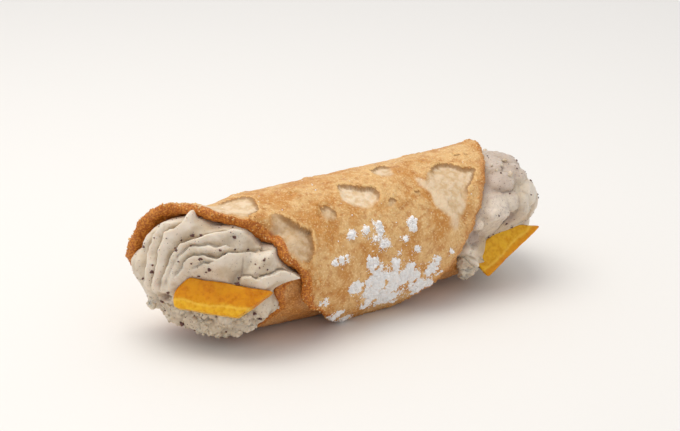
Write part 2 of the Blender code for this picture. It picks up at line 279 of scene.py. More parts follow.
# %% Driving dimensions of the dough
AXIS_HEIGHT = 0.0200          # shell axis above the floor
SHELL_RADIUS = 0.0194         # outer radius at the middle of the dough
WALL = 0.0027
LAYER_STEP = 0.0036           # growth of the radius over one whole turn
NEAR_HALF_WIDTH = 0.0605      # from the middle of the dough to the corner at the near mouth
FAR_HALF_WIDTH = 0.0612
WRAP_HALF_TURN = math.radians(246)
DOUGH_MIDDLE_TURN = math.radians(-78)
CORNER_SOFTNESS = 1.27        # superellipse exponent: 1 is a true square, 2 an ellipse
DOUGH_CELLS = 212
RIM_ROWS = 7                  # rows of points between the skins, round the cut edge
EDGE_RUN = 56.0               # millimetres of dough for one unit of nearness to the edge
RIM_CURL = 0.0008
RIM_CURL_POWER = 9
RIM_DROOP = (4.0, 45, 15, 6)  # the near rim bends in: millimetres, turn, its reach, and over how much dough
NEAR_EDGE_WANDER = (          # millimetres outwards, turn and reach in degrees
    (-6.0, 47, 34),
    (-3.3, 83, 20),
    (2.2, 111, 14),
    (9.5, -266, 32),
)
WALL_WAVES = (                # rise, place and reach in millimetres, turn and its reach in degrees
    (-1.8, -41.5, 9.0, -8, 60),
    (1.6, -57.0, 9.0, -35, 50),
    (0.7, 12.0, 16.0, 15, 45),
    (-0.6, 33.0, 10.0, 70, 50),
)
BASE_SAG = 0.0024             # the underside bulges by this, and is flat where it meets the floor
BASE_SAG_TURN = math.radians(38)
BASE_SAG_HALF_LENGTH = 0.040


# %% Where a point of the flat dough lies
def soft_square(a, b):
    """Place across, place round and nearness to the edge of a grid point of the dough on its corner."""
    across, around = (a - b) / 2, (a + b) / 2
    edge = np.maximum(np.abs(a), np.abs(b))
    norm = np.abs(across) ** CORNER_SOFTNESS + np.abs(around) ** CORNER_SOFTNESS
    norm = np.maximum(norm, 1e-9) ** (1 / CORNER_SOFTNESS)
    stretch = 1 + (edge / norm - 1) * edge * edge
    return across * stretch, around * stretch, edge


def half_width(side):
    return np.where(side < 0, NEAR_HALF_WIDTH, FAR_HALF_WIDTH)


def edge_wander(side, turn):
    """How far the near edge of the dough stands out or in from its smooth line."""
    moves = (
        move * MM * bell((np.degrees(turn) - middle) / reach)
        for move, middle, reach in NEAR_EDGE_WANDER
    )
    return np.where(side < 0, sum(moves), 0.0)


def wall_wave(along, turn):
    return sum(
        rise * MM * bell((along / MM - middle) / reach) * bell((np.degrees(turn) - turned) / turn_reach)
        for rise, middle, reach, turned, turn_reach in WALL_WAVES
    )


def base_sag(along, turn):
    from_base = np.abs(turn % math.tau - math.pi) / BASE_SAG_TURN
    return BASE_SAG * bell(from_base) * bell(along / BASE_SAG_HALF_LENGTH) ** 0.5


def wrapped_radius(turn):
    return SHELL_RADIUS + LAYER_STEP * (turn - DOUGH_MIDDLE_TURN) / math.tau


def wrap(a, b, layer):
    """Along X, turn, radius, place round and nearness to the edge. Layer is 1 outside and -1 inside."""
    across, around, edge = soft_square(a, b)
    out_x = np.copysign(np.abs(across) ** (CORNER_SOFTNESS - 1), across) / half_width(across)
    out_y = np.copysign(np.abs(around) ** (CORNER_SOFTNESS - 1), around) / (SHELL_RADIUS * WRAP_HALF_TURN)
    out_length = np.maximum(np.hypot(out_x, out_y), 1e-9)
    over = np.where(edge > 0.999, WALL / 2 * np.sqrt(np.maximum(0.0, 1 - layer * layer)), 0.0)
    turn = DOUGH_MIDDLE_TURN + WRAP_HALF_TURN * around + out_y / out_length * over / SHELL_RADIUS
    left = np.maximum(0.0, 1 - np.minimum(1.0, np.abs(around)) ** CORNER_SOFTNESS)
    reach = half_width(across) * left ** (1 / CORNER_SOFTNESS)
    moved = edge_wander(across, turn) / np.maximum(reach, 0.008) * smooth(0.007, 0.009, reach)
    along = half_width(across) * across * (1 + moved) + out_x / out_length * over
    radius = wrapped_radius(turn) - WALL / 2 * (1 - layer)
    curls = smooth(-0.6, -0.3, around)
    radius += RIM_CURL * edge ** RIM_CURL_POWER * curls * (0.6 + 0.4 * layer)
    radius += base_sag(along, turn) + wall_wave(along, turn)
    droop, middle, turn_reach, run = RIM_DROOP
    bends = bell((np.degrees(turn) - middle) / turn_reach) * smooth(run, 0.0, (1 - edge) * EDGE_RUN)
    radius -= droop * MM * bends * (across < 0)
    return along, turn, radius, around, edge


def round_axis(along, turn, radius):
    """The points at those places along X, turns and distances from the shell's axis."""
    return np.stack([along, -radius * np.sin(turn), AXIS_HEIGHT + radius * np.cos(turn)], axis=-1)


# %% [markdown]
# ## Blisters
# Water in the dough boils and lifts its skin into blisters. Where one bursts, its roof tears off along one
# side and leaves a pale pan with a sharp ledge. Each pan is an outline on the unrolled shell. The distance
# to that outline gives the relief, and is kept with the mesh, so the material can draw the torn edge much
# more sharply than the grid could.

# %% The burst blisters
# Outline points are millimetres along X and degrees of turn. Then come the depth in millimetres, the
# direction of the side whose ledge stands highest, in degrees from +X towards the front, and how pale
# the floor is.
PANS = {
    "left_pan": (
        ((-31.5, 31), (-28, 37), (-25, 47), (-22.8, 52), (-22.6, 68), (-25, 75), (-28.5, 77), (-32, 66),
         (-34, 56), (-33.5, 44)),
        1.35, -15, 0.55,
    ),
    "middle_pan": (
        ((-5.5, 12), (-1, 20), (4.8, 29), (5, 37), (2, 46), (-4, 46), (-8.3, 35), (-6.5, 22)),
        1.1, -55, 1.0,
    ),
    "top_pan": (((8, 3), (14, 3), (15, 12), (13, 21), (8.0, 20)), 0.6, -90, 0.8),
    "right_pan": (
        ((20, 37), (27, 20), (32, 18.5), (36, 26), (40.5, 36), (34, 48), (32.5, 62), (26.5, 76), (21, 58)),
        0.9, -40, 0.75,
    ),
    "lip_pan": (
        ((-50, 2), (-46, -10), (-36, -12), (-32.5, 6), (-33.5, 24), (-39, 27), (-45, 19)), 0.5, -10, 0.85,
    ),
    "small_pan": (((-17, 42), (-15.8, 35.5), (-13, 35), (-11.8, 42), (-13.4, 49), (-16, 49)), 0.55, -60, 0.5),
    "spiky_pan": (((5.9, 45), (7, 40.5), (9, 41), (9.3, 46), (7.8, 50), (6.3, 49)), 0.45, -60, 0.4),
    "dark_pan": (((16, 39), (18, 40), (18.2, 46), (16.6, 46)), 0.5, -90, 0.1),
    "slit": (((37.6, 10), (39, 9), (39.6, 14), (38.4, 15)), 0.5, -60, -0.3),
    "slit_beside": (((40.6, 12), (42.4, 13), (41.6, 16.5), (40.6, 15)), 0.5, -60, -0.3),
    "back_pan": (((-27, -78), (-18, -86), (-10, -74), (-14, -60), (-24, -58)), 1.0, 200, 0.6),
    "back_far_pan": (((17, -102), (27, -108), (33, -92), (26, -82), (18, -88)), 0.9, 20, 0.5),
    "back_top_pan": (((6, -48), (14, -54), (19, -44), (13, -34), (7, -38)), 0.7, 90, 0.7),
    "back_low_pan": (((-40, -112), (-33, -122), (-27, -108), (-33, -98)), 0.8, 160, 0.4),
    "back_edge_pan": (((36, -60), (45, -62), (46, -44), (38, -40)), 0.8, 0, 0.6),
}
PALE_RIDGES = (               # courses in millimetres and degrees, half width and rise in millimetres
    (((20.0, 33), (22.3, 46), (24.6, 60), (26.0, 73)), 3.0, 0.35),
)
RIB_SPACING = 2.3             # millimetres between the ribs that tear down from a ledge
# Small blisters that stayed whole: place in millimetres and degrees, radius in millimetres.
WHOLE_BLISTERS = (
    (-14.5, 42, 3.3), (7.6, 45, 2.3), (17.0, 42, 1.4), (-19, 16, 2.6), (24, 8, 2.2), (-45, 60, 1.6),
    (-4, -30, 3.0), (30, -20, 2.6), (-30, -30, 2.8), (2, -100, 3.2), (-10, -125, 2.4), (40, -95, 2.4),
)
CRUMPLES = (                  # bubbly patches: place in millimetres and degrees, reach in millimetres
    (-8, 137, 9, 5), (-17, 105, 7, 2.4), (1, 81, 4.5, 2.2), (-25, 90, 3.5, 4.5), (18, 52, 4, 2),
    (40, 12, 3, 1.8), (-20, -100, 6, 4), (12, -75, 5, 3),
)
DEGREE_ARC = math.radians(SHELL_RADIUS / MM)     # millimetres round the shell for one degree


def outline_distance(u, v, corners):
    """Signed distance to a closed outline, below 0 inside it."""
    nearest = np.full(u.shape, 1e9)
    inside = np.zeros(u.shape, bool)
    for (x0, y0), (x1, y1) in zip(corners, corners[1:] + corners[:1]):
        share = ((u - x0) * (x1 - x0) + (v - y0) * (y1 - y0)) / ((x1 - x0) ** 2 + (y1 - y0) ** 2)
        share = np.clip(share, 0.0, 1.0)
        nearest = np.minimum(nearest, np.hypot(u - x0 - share * (x1 - x0), v - y0 - share * (y1 - y0)))
        crosses = ((y0 > v) != (y1 > v)) & (u < (x1 - x0) * (v - y0) / (y1 - y0 + 1e-12) + x0)
        inside ^= crosses
    return np.where(inside, -nearest, nearest)


def line_distance(u, v, corners):
    """Distance to an open line, positive to the right of its course, and the share of its length."""
    nearest = np.full(u.shape, 1e9)
    signed = np.zeros(u.shape)
    at = np.zeros(u.shape)
    for index, ((x0, y0), (x1, y1)) in enumerate(zip(corners, corners[1:])):
        run, rise = x1 - x0, y1 - y0
        share = np.clip(((u - x0) * run + (v - y0) * rise) / (run * run + rise * rise), 0.0, 1.0)
        distance = np.hypot(u - x0 - share * run, v - y0 - share * rise)
        nearer = distance < nearest
        nearest = np.where(nearer, distance, nearest)
        side = np.where((v - y0) * run - (u - x0) * rise > 0, -1.0, 1.0)
        signed = np.where(nearer, side * distance, signed)
        at = np.where(nearer, (index + share) / (len(corners) - 1), at)
    return signed, at


def rounded(corners):
    """The same outline with each corner cut off."""
    cut = []
    for (x0, y0), (x1, y1) in zip(corners, corners[1:] + corners[:1]):
        cut += [(0.8 * x0 + 0.2 * x1, 0.8 * y0 + 0.2 * y1), (0.2 * x0 + 0.8 * x1, 0.2 * y0 + 0.8 * y1)]
    return cut


def burst_blisters(u, v):
    """Relief in millimetres, nearest torn edge in millimetres, height of its ledge and paleness."""
    relief = np.zeros(u.shape)
    torn = np.full(u.shape, 6.0)
    ledge = np.zeros(u.shape)
    pale = np.zeros(u.shape)
    for outline, depth, deep_side, paleness in PANS.values():
        corners = rounded([(x, turn * DEGREE_ARC) for x, turn in outline])
        distance = outline_distance(u, v, corners)
        middle_u, middle_v = np.mean(corners, axis=0)
        size = max(abs(x - middle_u) for x, _ in corners)
        heading = math.radians(deep_side)
        towards = ((u - middle_u) * math.cos(heading) + (v - middle_v) * math.sin(heading)) / size
        deep = smooth(-0.7, 0.6, towards)
        heading = np.arctan2(v - middle_v, u - middle_u)
        distance = distance + 0.22 * deep * np.sin(heading * round(math.tau * size / RIB_SPACING))
        slope = 3.2 - 2.6 * deep
        relief -= depth * (0.35 + 0.65 * deep) * smooth(0.0, 1.0, -distance / slope)
        relief += 0.36 * depth * deep * bell((distance - 0.45) / 1.2)
        nearer = distance < torn
        torn = np.where(nearer, distance, torn)
        ledge = np.where(nearer, deep, ledge)
        pale = np.where(nearer, paleness, pale)
    return relief, torn, ledge, pale


def whole_blisters(u, v):
    """Relief in millimetres of the small round blisters: a low dome inside a sunken ring."""
    relief = np.zeros(u.shape)
    for middle, turn, radius in WHOLE_BLISTERS:
        distance = np.hypot(u - middle, v - turn * DEGREE_ARC) / radius
        relief += 0.12 * radius * bell(distance / 0.72) - 0.13 * radius * bell((distance - 0.86) / 0.2)
        relief += 0.11 * radius * bell((distance - 1.12) / 0.22)
    return relief


def pale_ridges(u, v):
    """Share of each place that lies on a pale ridge, and its relief in millimetres."""
    share = np.zeros(u.shape)
    relief = np.zeros(u.shape)
    for course, width, rise in PALE_RIDGES:
        distance, _ = line_distance(u, v, [(x, turn * DEGREE_ARC) for x, turn in course])
        on_ridge = bell(distance / width)
        share = np.maximum(share, on_ridge)
        relief = np.maximum(relief, rise * on_ridge)
    return share, relief


def nearest_patch(u, v, patches):
    """0 in the middle of the nearest oval patch, 1 at its edge and more outside."""
    return np.min([
        np.hypot((u - middle) / reach_u, (v - turn * DEGREE_ARC) / reach_v)
        for middle, turn, reach_u, reach_v in patches
    ], axis=0)


# %% The slab of dough, flat
def dough_slab(cells, rim_rows):
    """A flat square slab from -1 to 1 each way. Its z is the layer: -1 inside the wrap, 1 outside."""
    bm = bmesh.new()
    bmesh.ops.create_grid(bm, x_segments=cells, y_segments=cells, size=1.0)
    bmesh.ops.translate(bm, verts=bm.verts, vec=(0, 0, -1))
    top = bmesh.ops.extrude_face_region(bm, geom=bm.faces[:], use_keep_orig=True)
    top_verts = [item for item in top["geom"] if isinstance(item, bmesh.types.BMVert)]
    bmesh.ops.translate(bm, verts=top_verts, vec=(0, 0, 2))
    rim_edges = [edge for edge in bm.edges if abs(edge.verts[0].co.z - edge.verts[1].co.z) > 1]
    bmesh.ops.subdivide_edges(bm, edges=rim_edges, cuts=rim_rows)
    bmesh.ops.recalc_face_normals(bm, faces=bm.faces[:])
    return bm


# %% Wrap it, and raise its skin
SUGAR_PATCHES = (             # place in millimetres and degrees, then reach along and round in millimetres
    (6, 112, 9.5, 6.5), (-1, 106, 5.5, 5.5), (13, 119, 6.5, 4.0), (17.5, 108, 3.6, 3.6),
    (4, 126, 9.0, 4.0), (-3, 119, 5.0, 4.5), (-4, 91, 2.6, 3.4), (3.6, 95, 2.4, 2.2),
    (-9.5, 106, 2.6, 2.6), (0, 77, 3.0, 2.0), (-3, 70, 2.0, 1.8), (-5, 65, 1.4, 2.2),
    (-0.5, 62, 1.5, 2.3), (-10, 63, 1.7, 1.3), (-17.3, 80, 1.1, 1.1), (-15, 81, 1.3, 1.4),
    (-12.5, 81, 1.3, 1.5), (11, 67, 2.2, 1.8), (8, 76, 1.7, 1.4), (11.5, 86, 1.5, 1.0),
    (5.2, 85, 1.1, 1.2), (23.5, 95, 1.1, 0.9), (19, 100, 1.4, 1.4), (-8, 146, 3.6, 2.6),
    (-21, 113, 2.0, 1.6), (-14, 132, 2.5, 1.6),
)
SUGAR_BREAK = 0.0016          # sizes of the gaps that break a patch up
SUGAR_GAPS = 0.0042
CRUMPLE_BUBBLES = 0.0021      # size of the bubbles in a crumpled patch


def sugar_cover(u, v):
    """How thickly powdered sugar lies there, from 0 to about 1."""
    return 1.15 * bell(nearest_patch(u, v, SUGAR_PATCHES) / 1.25) ** 0.7


slab = new_mesh("fried_dough", dough_slab(DOUGH_CELLS, RIM_ROWS))
flat = read_points(slab)
along, turn, radius, around, edge = wrap(flat[:, 0], flat[:, 1], flat[:, 2])
smooth_place = round_axis(along, turn, radius)
layer = flat[:, 2]
outer = smooth(-0.2, 0.8, layer)

shift = jolts(smooth_place, 0.0034) * 1.1 + jolts(smooth_place, 0.0011) * 0.3
u = along / MM + shift[:, 0]
v = turn * SHELL_RADIUS / MM + shift[:, 1]
relief, torn, ledge, pale = burst_blisters(u, v)
relief += whole_blisters(u, v)
in_pan = smooth(0.3, -0.8, torn)
calm = 1 - 0.8 * in_pan
relief += 0.22 * lumps(smooth_place, 0.0085) + 0.16 * calm * lumps(smooth_place, 0.0032)
relief += 0.17 * calm * bubbles(smooth_place, 0.0026) + 0.07 * calm * bubbles(smooth_place, 0.0012)
ridge, ridge_relief = pale_ridges(u, v)
relief += ridge_relief
crumple = bell(nearest_patch(u, v, CRUMPLES))
relief += crumple * (1.1 * bubbles(smooth_place, CRUMPLE_BUBBLES) - 0.6 + 0.3 * lumps(smooth_place, 0.0012))
sugar = sugar_cover(along / MM, turn * SHELL_RADIUS / MM) * outer
gaps = lumps(smooth_place, SUGAR_BREAK) + 1.2 * lumps(smooth_place, SUGAR_GAPS)
powder = np.clip(sugar + gaps - 0.42, 0.0, 1.0) * smooth(0.02, 0.2, sugar)
relief += powder * (0.05 + 0.55 * bubbles(smooth_place, 0.0023))
near_edge = smooth(0.90, 0.985, edge)
radius += relief * MM * outer * (1 - 0.5 * near_edge)

place = round_axis(along, turn, radius)
ragged = smooth(0.86, 1.0, edge)[:, None]
place += jolts(smooth_place, 0.0038) * 0.00055 * ragged
place += jolts(smooth_place, 0.0013) * 0.00042 * ragged ** 2
place += jolts(smooth_place, 0.0006) * 0.00020 * near_edge[:, None]
place[:, 2] = np.maximum(place[:, 2], 0.0)
move_points(slab, place)

covered = smooth(-0.10, -0.30, around)
from_cut = (1 - edge) * EDGE_RUN + 0.5 * lumps(smooth_place, 0.0030)
drooping = bell((np.degrees(turn) - RIM_DROOP[1]) / RIM_DROOP[2]) * (along < 0)
toast = smooth(0.8 + 1.8 * drooping, 0.1, from_cut) * np.where(along < 0, 1.0, 0.5)
# The inner skin and the covered lap are darker, partly toasted and partly painted shade; the creases between
# bubbles in crumpled patches get painted shade.
toast = np.maximum(toast, smooth(0.85, -0.1, layer) * np.where(along < 0, 1.0, 0.7))
toast = np.maximum(toast, 0.5 * covered)
toast = np.maximum(toast, 0.35 * crumple * smooth(0.5, 0.2, bubbles(smooth_place, CRUMPLE_BUBBLES)))
kept = {"torn": torn, "ledge": ledge, "pale": pale, "ridge": ridge, "toast": toast, "powder": powder}
for name, values in kept.items():
    store(slab, name, values)
print("dough from", place.min(0).round(4), "to", place.max(0).round(4))

# %% [markdown]
# ## Fried dough
# Hot oil turns the skin golden brown, darker where it stands up and paler in the pans, where it was still
# steaming. The skin is dry and grainy with tiny bubbles, and oil leaves it a soft gloss. The colour comes
# from noise at three real sizes, then from what is kept with the mesh: torn edges with painted shade under
# their ledges, toasted rims, painted shade on the inner skin, the covered lap and in crumpled creases, and
# sugar dust.

# %% Fried dough
SKIN_PATCH = 0.0075           # sizes of the colour patches, mottling and grain
SKIN_MOTTLE = 0.0019
SKIN_GRAIN = 0.00055
SKIN_PORES = 0.0011


NOISE = "ShaderNodeTexNoise"
CELLS = "ShaderNodeTexVoronoi"
RANGE = "ShaderNodeMapRange"
MATH = "ShaderNodeMath"
MIX = "ShaderNodeMix"
KEPT = "ShaderNodeAttribute"  # a number kept with each point of the mesh
BUMP = "ShaderNodeBump"
SOFT = {"interpolation_type": "SMOOTHSTEP"}


def stain(add, colour, *layers):
    """Lays colours over a colour. Each layer: what drives it, where it starts and is full, most, colour."""
    for source, start, full, most, tint, *masks in layers:
        share = add(RANGE, [source, start, full, 0.0, most], **SOFT)
        for mask in masks:
            share = add(MATH, [share, mask], operation="MULTIPLY")
        colour = add(MIX, [share, colour, tint], data_type="RGBA")
    return colour


def fried_dough():
    """Dough fried golden brown. Its oily, bubbled skin scatters light in small grains."""
    material, add, shader, place = new_material("fried_wine_dough")
    patch = add(NOISE, {"Vector": place, "Scale": 1 / SKIN_PATCH, "Detail": 4.0})
    mottle = add(NOISE, {"Vector": place, "Scale": 1 / SKIN_MOTTLE, "Detail": 5.0})
    grain = add(NOISE, {"Vector": place, "Scale": 1 / SKIN_GRAIN, "Detail": 3.0})
    ledge, pale, torn, ridge, toast, powder = (
        add(KEPT, attribute_name=name).outputs["Fac"]
        for name in ("ledge", "pale", "torn", "ridge", "toast", "powder")
    )
    torn = add(MATH, [grain, 0.5, torn], operation="MULTIPLY_ADD")
    ridge = add(MATH, [ridge, add(MATH, [mottle, 0.5])], operation="MULTIPLY")
    toast = add(MATH, [toast, add(MATH, [mottle, 0.6])], operation="MULTIPLY")
    powder = add(MATH, [grain, 0.6, powder], operation="MULTIPLY_ADD")
    sharp_floor = add(RANGE, [torn, 0.25, -0.10, 0.0, 0.95], **SOFT)
    soft_floor = add(RANGE, [torn, 0.55, -1.55, 0.0, 0.95], **SOFT)
    floor = add(MIX, [ledge, soft_floor, sharp_floor])
    floor_light = add(MIX, [pale, "#BE945C", "#EED8BA"], data_type="RGBA")
    floor_dark = add(MIX, [pale, "#A97F48", "#DDBE93"], data_type="RGBA")
    floor_colour = stain(add, floor_dark, (mottle, 0.35, 0.62, 1.0, floor_light))
    # Painted shade: the band of pan floor just under the high ledge, partly browned dough and partly painted
    # shade.
    ledge_shade_band = add(RANGE, [torn, 0.35, 0.10], **SOFT)
    deep_side = add(RANGE, [ledge, 0.45, 0.85], **SOFT)
    crest_end = add(RANGE, [torn, 1.65, 0.65], **SOFT)
    crest_break = add(RANGE, [mottle, 0.30, 0.55], **SOFT)
    colour = stain(
        add, "#C7893D",
        (patch, 0.36, 0.62, 1.00, "#DDB073"),
        (mottle, 0.47, 0.34, 0.50, "#B26C22"),
        (mottle, 0.54, 0.70, 0.55, "#EBC48C"),
        (grain, 0.54, 0.67, 0.60, "#F2D29C"),
        (grain, 0.46, 0.33, 0.35, "#B8762E"),
    )
    colour = add(MIX, [floor, colour, floor_colour], data_type="RGBA")
    colour = stain(
        add, colour,
        # Painted shade under the high ledge, with some real browning.
        (torn, -1.05, -0.05, 0.75, "#94621F", ledge_shade_band, deep_side),
        (torn, 0.25, 0.50, 0.60, "#EDC585", crest_end, ledge, crest_break),
        (ridge, 0.15, 0.95, 0.80, "#EBD0AC"),
        # Toasted rims, with painted shade on the inner skin, the covered lap and the creases of crumpled
        # patches.
        (toast, 0.15, 0.95, 1.00, stain(add, "#AB5B0E", (grain, 0.42, 0.64, 1.0, "#D68A2E"))),
        (powder, 0.42, 0.75, 1.00, "#FFFAF6"),
    )
    pores = add(CELLS, {"Vector": place, "Scale": 1 / SKIN_PORES}, feature="SMOOTH_F1")
    height = add(MATH, [grain, 0.5, mottle], operation="MULTIPLY_ADD")
    height = add(MATH, [pores, -0.35, height], operation="MULTIPLY_ADD")
    fill(shader, {
        "Base Color": colour,
        "Roughness": add(RANGE, [mottle, 0.30, 0.70, 0.46, 0.66], **SOFT),
        "Normal": add(BUMP, {"Height": height, "Strength": 1.0, "Distance": 0.00045}),
        "Subsurface Weight": 0.08,
        "Subsurface Radius": (0.0016, 0.0008, 0.0004),
        "Subsurface Scale": 1.0,
    })
    return material


finish_piece("fried_shell", slab, fried_dough(), "fried_dough", "pastry_shell")

# %% [markdown]
# ## Ricotta cream
# Sheep's ricotta is pushed into each mouth with a spatula or a bag, so it swells out in a dome of soft folds
# laid one over another, and slumps over the rim at the bottom. One closed ball, whose poles are the tips of
# the two domes, is stretched into this shape. Then each fold is a line on the dome: the surface climbs
# gently to the line and drops steeply behind it.

# %% Driving dimensions of the peel
PEEL_THICKNESS = 0.0036
PEEL_EDGE = 0.0007
PEEL_CELLS = 40
PEEL_BEND = 5.0               # curvature of the rind, one over metres
PEELS = {                     # length, width, slants of the ends; then middle, face and course
    "candied_peel_near": (
        (0.0210, 0.0090, 0.30, 0.95),
        ((-0.0508, -0.0132, 0.0176), (-0.634, -0.590, 0.500), (0.650, -0.757, -0.069)),
    ),
    "candied_peel_far": (
        (0.0180, 0.0088, 0.0, -0.95),
        ((0.0462, -0.0166, 0.0136), (-0.362, -0.879, 0.310), (0.793, -0.115, 0.599)),
    ),
}
PEEL_RIND = {                 # side of the rind, and how far its colour is shifted
    "candied_peel_near": (1, 0.08), "candied_peel_far": (-1, -0.40),
}
PEEL_BLUNT = {                # how far the first end bulges
    "candied_peel_near": 0.0022, "candied_peel_far": 0.0,
}
PEEL_STANDS_OUT = 0.0011      # how far the rind stands out of the cream around it
PEEL_SHOWN = {                # the part of each rind that is free of cream: millimetres along and across
    "candied_peel_near": ((-9.2, 4.8), (15.0, 4.8), (6.0, -4.8), (-12.6, -4.8), (-13.6, 0.0)),
    "candied_peel_far": (
        (10.9, -0.8), (13.6, -4.8), (-9.2, -4.8), (-7.9, -4.1), (-6.3, 1.2), (-4.8, 2.0), (-1.9, 4.4),
    ),
}


# %% Where the peel lies, and the cream pressed down around it
def peel_matrix(middle, face, course):
    face = Vector(face).normalized()
    course = Vector(course)
    course = (course - face * course.dot(face)).normalized()
    axes = Matrix((course, face.cross(course), face)).transposed().to_4x4()
    return Matrix.Translation(middle) @ axes


def press_down(points, shown, where):
    """Pushes points back under the part of a peel that is shown, and into a slope around it."""
    matrix = np.array(peel_matrix(*where))
    local = (points - matrix[:3, 3]) @ matrix[:3, :3]
    outside = outline_distance(local[:, 0] / MM, local[:, 1] / MM, shown) * MM
    top = PEEL_THICKNESS / 2 - PEEL_BEND * local[:, 0] ** 2
    limit = top - PEEL_STANDS_OUT + np.maximum(0.0, outside + 0.0004) * 1.5
    limit = np.where(outside < 0.005, limit, 1.0)
    return points - matrix[:3, 2] * np.maximum(0.0, local[:, 2] - limit)[:, None]


# %% Driving dimensions of the cream
CREAM_SEGMENTS = 336
CREAM_RINGS = 232
BODY_SHARE = 6 / CREAM_RINGS  # share of the way from the middle to a tip where the hidden body ends
MOUTH_SHARE = 10 / CREAM_RINGS  # and where the cream leaves the shell
BODY_STEP = math.radians(63)  # turn over which the body steps in under the hidden lap
MOUTH_STEP = math.radians(32)  # and the ring at a mouth, from the outer lap to the inner
NEAR_PROUD = (1.2, 70, 50)    # the near cream stands out past the rim: millimetres, turn and its reach
NEAR_GAPS = (                 # gaps between cream and wall at the near mouth, likewise
    (3.8, 45, 15), (1.2, 15, 12), (2.4, -58, 20),
)
MOUTH_YAW = math.radians(40)  # how far each mouth turns towards the front
BULGE = {-1: 0.0122, 1: 0.0198}           # how far the cream swells out of the near and the far mouth
FULLNESS = {-1: 0.82, 1: 1.0}
HEART = {-1: (0.006, -0.005), 1: (0.0, 0.0015)}  # the spot that the folds ring, off the mouth's middle
FRONT_LIMIT = 0.0222          # cream that swells further to the front than this is flattened
FRONT_SQUEEZE = 0.6           # by this share of what stands out past it
CREAM_LIFT = 0.0003           # the cream stays this far above the floor
OPEN_FROM = 0.030             # cream further than this from the middle of the shell can be seen
OVERFLOW = 0.0022             # how far the cream slumps out over the rim, all along the bottom
OVERFLOW_FULL = math.radians(45)      # over this turn to either side it does so in full
OVERFLOW_FADE = math.radians(75)      # and it fades out over this turn more
TUCK = 0.0001                 # the cream presses this far into the wall of the shell
LEAN = (0.26, 0.37)           # the folds lean: sideways and up for each unit nearer the mouth
LEAN_HEIGHT = 8.0             # millimetres out from the mouth where the lines below hold
NEAR_ORIGIN = np.array([-0.0435, 0.0, 0.0200])  # the lines are measured from here

# Folds of the near mouth, in millimetres sideways and up from its middle, then the rise in millimetres
# and the widths of the gentle and the steep side. The steep side lies to the right of the line's course.
NEAR_FOLDS = (
    (((-8.0, 17.6), (-12.2, 15.2), (-14.0, 12.0), (-15.0, 8.0), (-16.0, 3.0), (-17.0, -2.0)), 2.2, 4.0, 0.7),
    (((-15.2, 15.4), (-17.8, 12.0), (-18.8, 8.0), (-19.4, 4.5)), 1.6, 3.5, 0.7),
    (((-3.7, 19.8), (-5.5, 15.5), (-10.3, 12.0), (-11.6, 8.5), (-12.6, 4.0), (-13.4, 0.0), (-14.0, -3.5)),
     3.2, 4.2, 0.7),
    (((9.0, 15.6), (3.0, 13.7), (-1.0, 12.3), (-6.0, 10.2), (-8.0, 7.3), (-9.5, 3.5), (-11.2, -0.5),
      (-12.0, -4.0)), 2.8, 3.6, 0.7),
    (((6.0, 10.7), (1.0, 10.2), (-4.0, 9.2), (-6.7, 6.5), (-8.3, 3.0), (-9.6, 0.0), (-10.5, -2.8)),
     2.3, 2.8, 0.6),
    (((3.2, 6.8), (0.5, 7.8), (-2.8, 7.2), (-5.0, 5.3), (-6.2, 3.0), (-8.0, 0.4)), 2.2, 2.4, 0.5),
    (((2.6, 5.4), (0.0, 5.4), (-3.0, 3.7), (-5.5, 1.2)), 1.4, 2.2, 0.5),
    (((19.6, 10.6), (12.0, 9.2), (7.0, 8.7), (3.0, 6.2)), 2.2, 6.5, 0.6),
    (((15.4, 11.2), (14.2, 13.6), (8.0, 15.8)), 1.4, 5.0, 0.6),
    (((25.0, 3.9), (21.5, 5.0), (18.5, 3.9), (15.5, 2.1)), 3.0, 5.5, 0.5),
    (((15.5, 2.1), (14.0, 1.9), (12.8, 2.8), (10.6, 2.2)), 2.0, 2.0, 0.4),
)
CURD_MIDDLE = 0.47            # the mean height of packed bubbles


# %% The mouths of the shell
def layer_reaches(turn, side):
    """How far the two layers of dough at those turns reach towards one mouth, the farther one last."""
    reaches = []
    for whole in (-1, 0, 1):
        around = np.abs(turn + whole * math.tau - DOUGH_MIDDLE_TURN) / WRAP_HALF_TURN
        left = np.maximum(0.0, 1 - np.minimum(1.0, around) ** CORNER_SOFTNESS)
        width = half_width(side) * left ** (1 / CORNER_SOFTNESS)
        width = width + edge_wander(side, turn + whole * math.tau)
        reaches.append(np.where(around < 1, width, 0.0))
    return np.sort(reaches, axis=0)[1:]


def bore_radius(turn, first_turn, step):
    """Inner radius of one layer, eased over a step where that layer ends and the next one begins."""
    from_middle = (turn - DOUGH_MIDDLE_TURN + first_turn) % math.tau - first_turn
    end = math.tau - first_turn
    eased = from_middle - math.tau * smooth(end - step, end, from_middle)
    return SHELL_RADIUS + LAYER_STEP * eased / math.tau - WALL


def mouth_ring(turn, side):
    """Where the cream leaves the shell."""
    reach = layer_reaches(turn, side)[1]
    if side < 0:
        from_proud = (np.degrees(turn) - NEAR_PROUD[1] + 180) % 360 - 180
        reach = reach + NEAR_PROUD[0] * MM * bell(from_proud / NEAR_PROUD[2])
    radius = bore_radius(turn, math.pi, MOUTH_STEP) + TUCK
    if side < 0:
        away = (np.degrees(turn) + 180) % 360 - 180
        radius = radius - sum(gap * MM * bell((away - middle) / width) for gap, middle, width in NEAR_GAPS)
    return round_axis(side * reach, turn, radius)


def mouth_axes(side):
    """Unit vectors out of a mouth and to the right for someone facing it. Side is -1 near, 1 far."""
    out = np.array([side * math.cos(MOUTH_YAW), -math.sin(MOUTH_YAW), 0.0])
    return out, np.array([-out[1], out[0], 0.0])


RING_POINTS = 56
RING_TURNS = np.arange(RING_POINTS) * math.tau / RING_POINTS
MOUTH_MIDDLE = {side: mouth_ring(RING_TURNS, side).mean(0) for side in (-1, 1)}
print("mouth middles:", {side: middle.round(4).tolist() for side, middle in MOUTH_MIDDLE.items()})


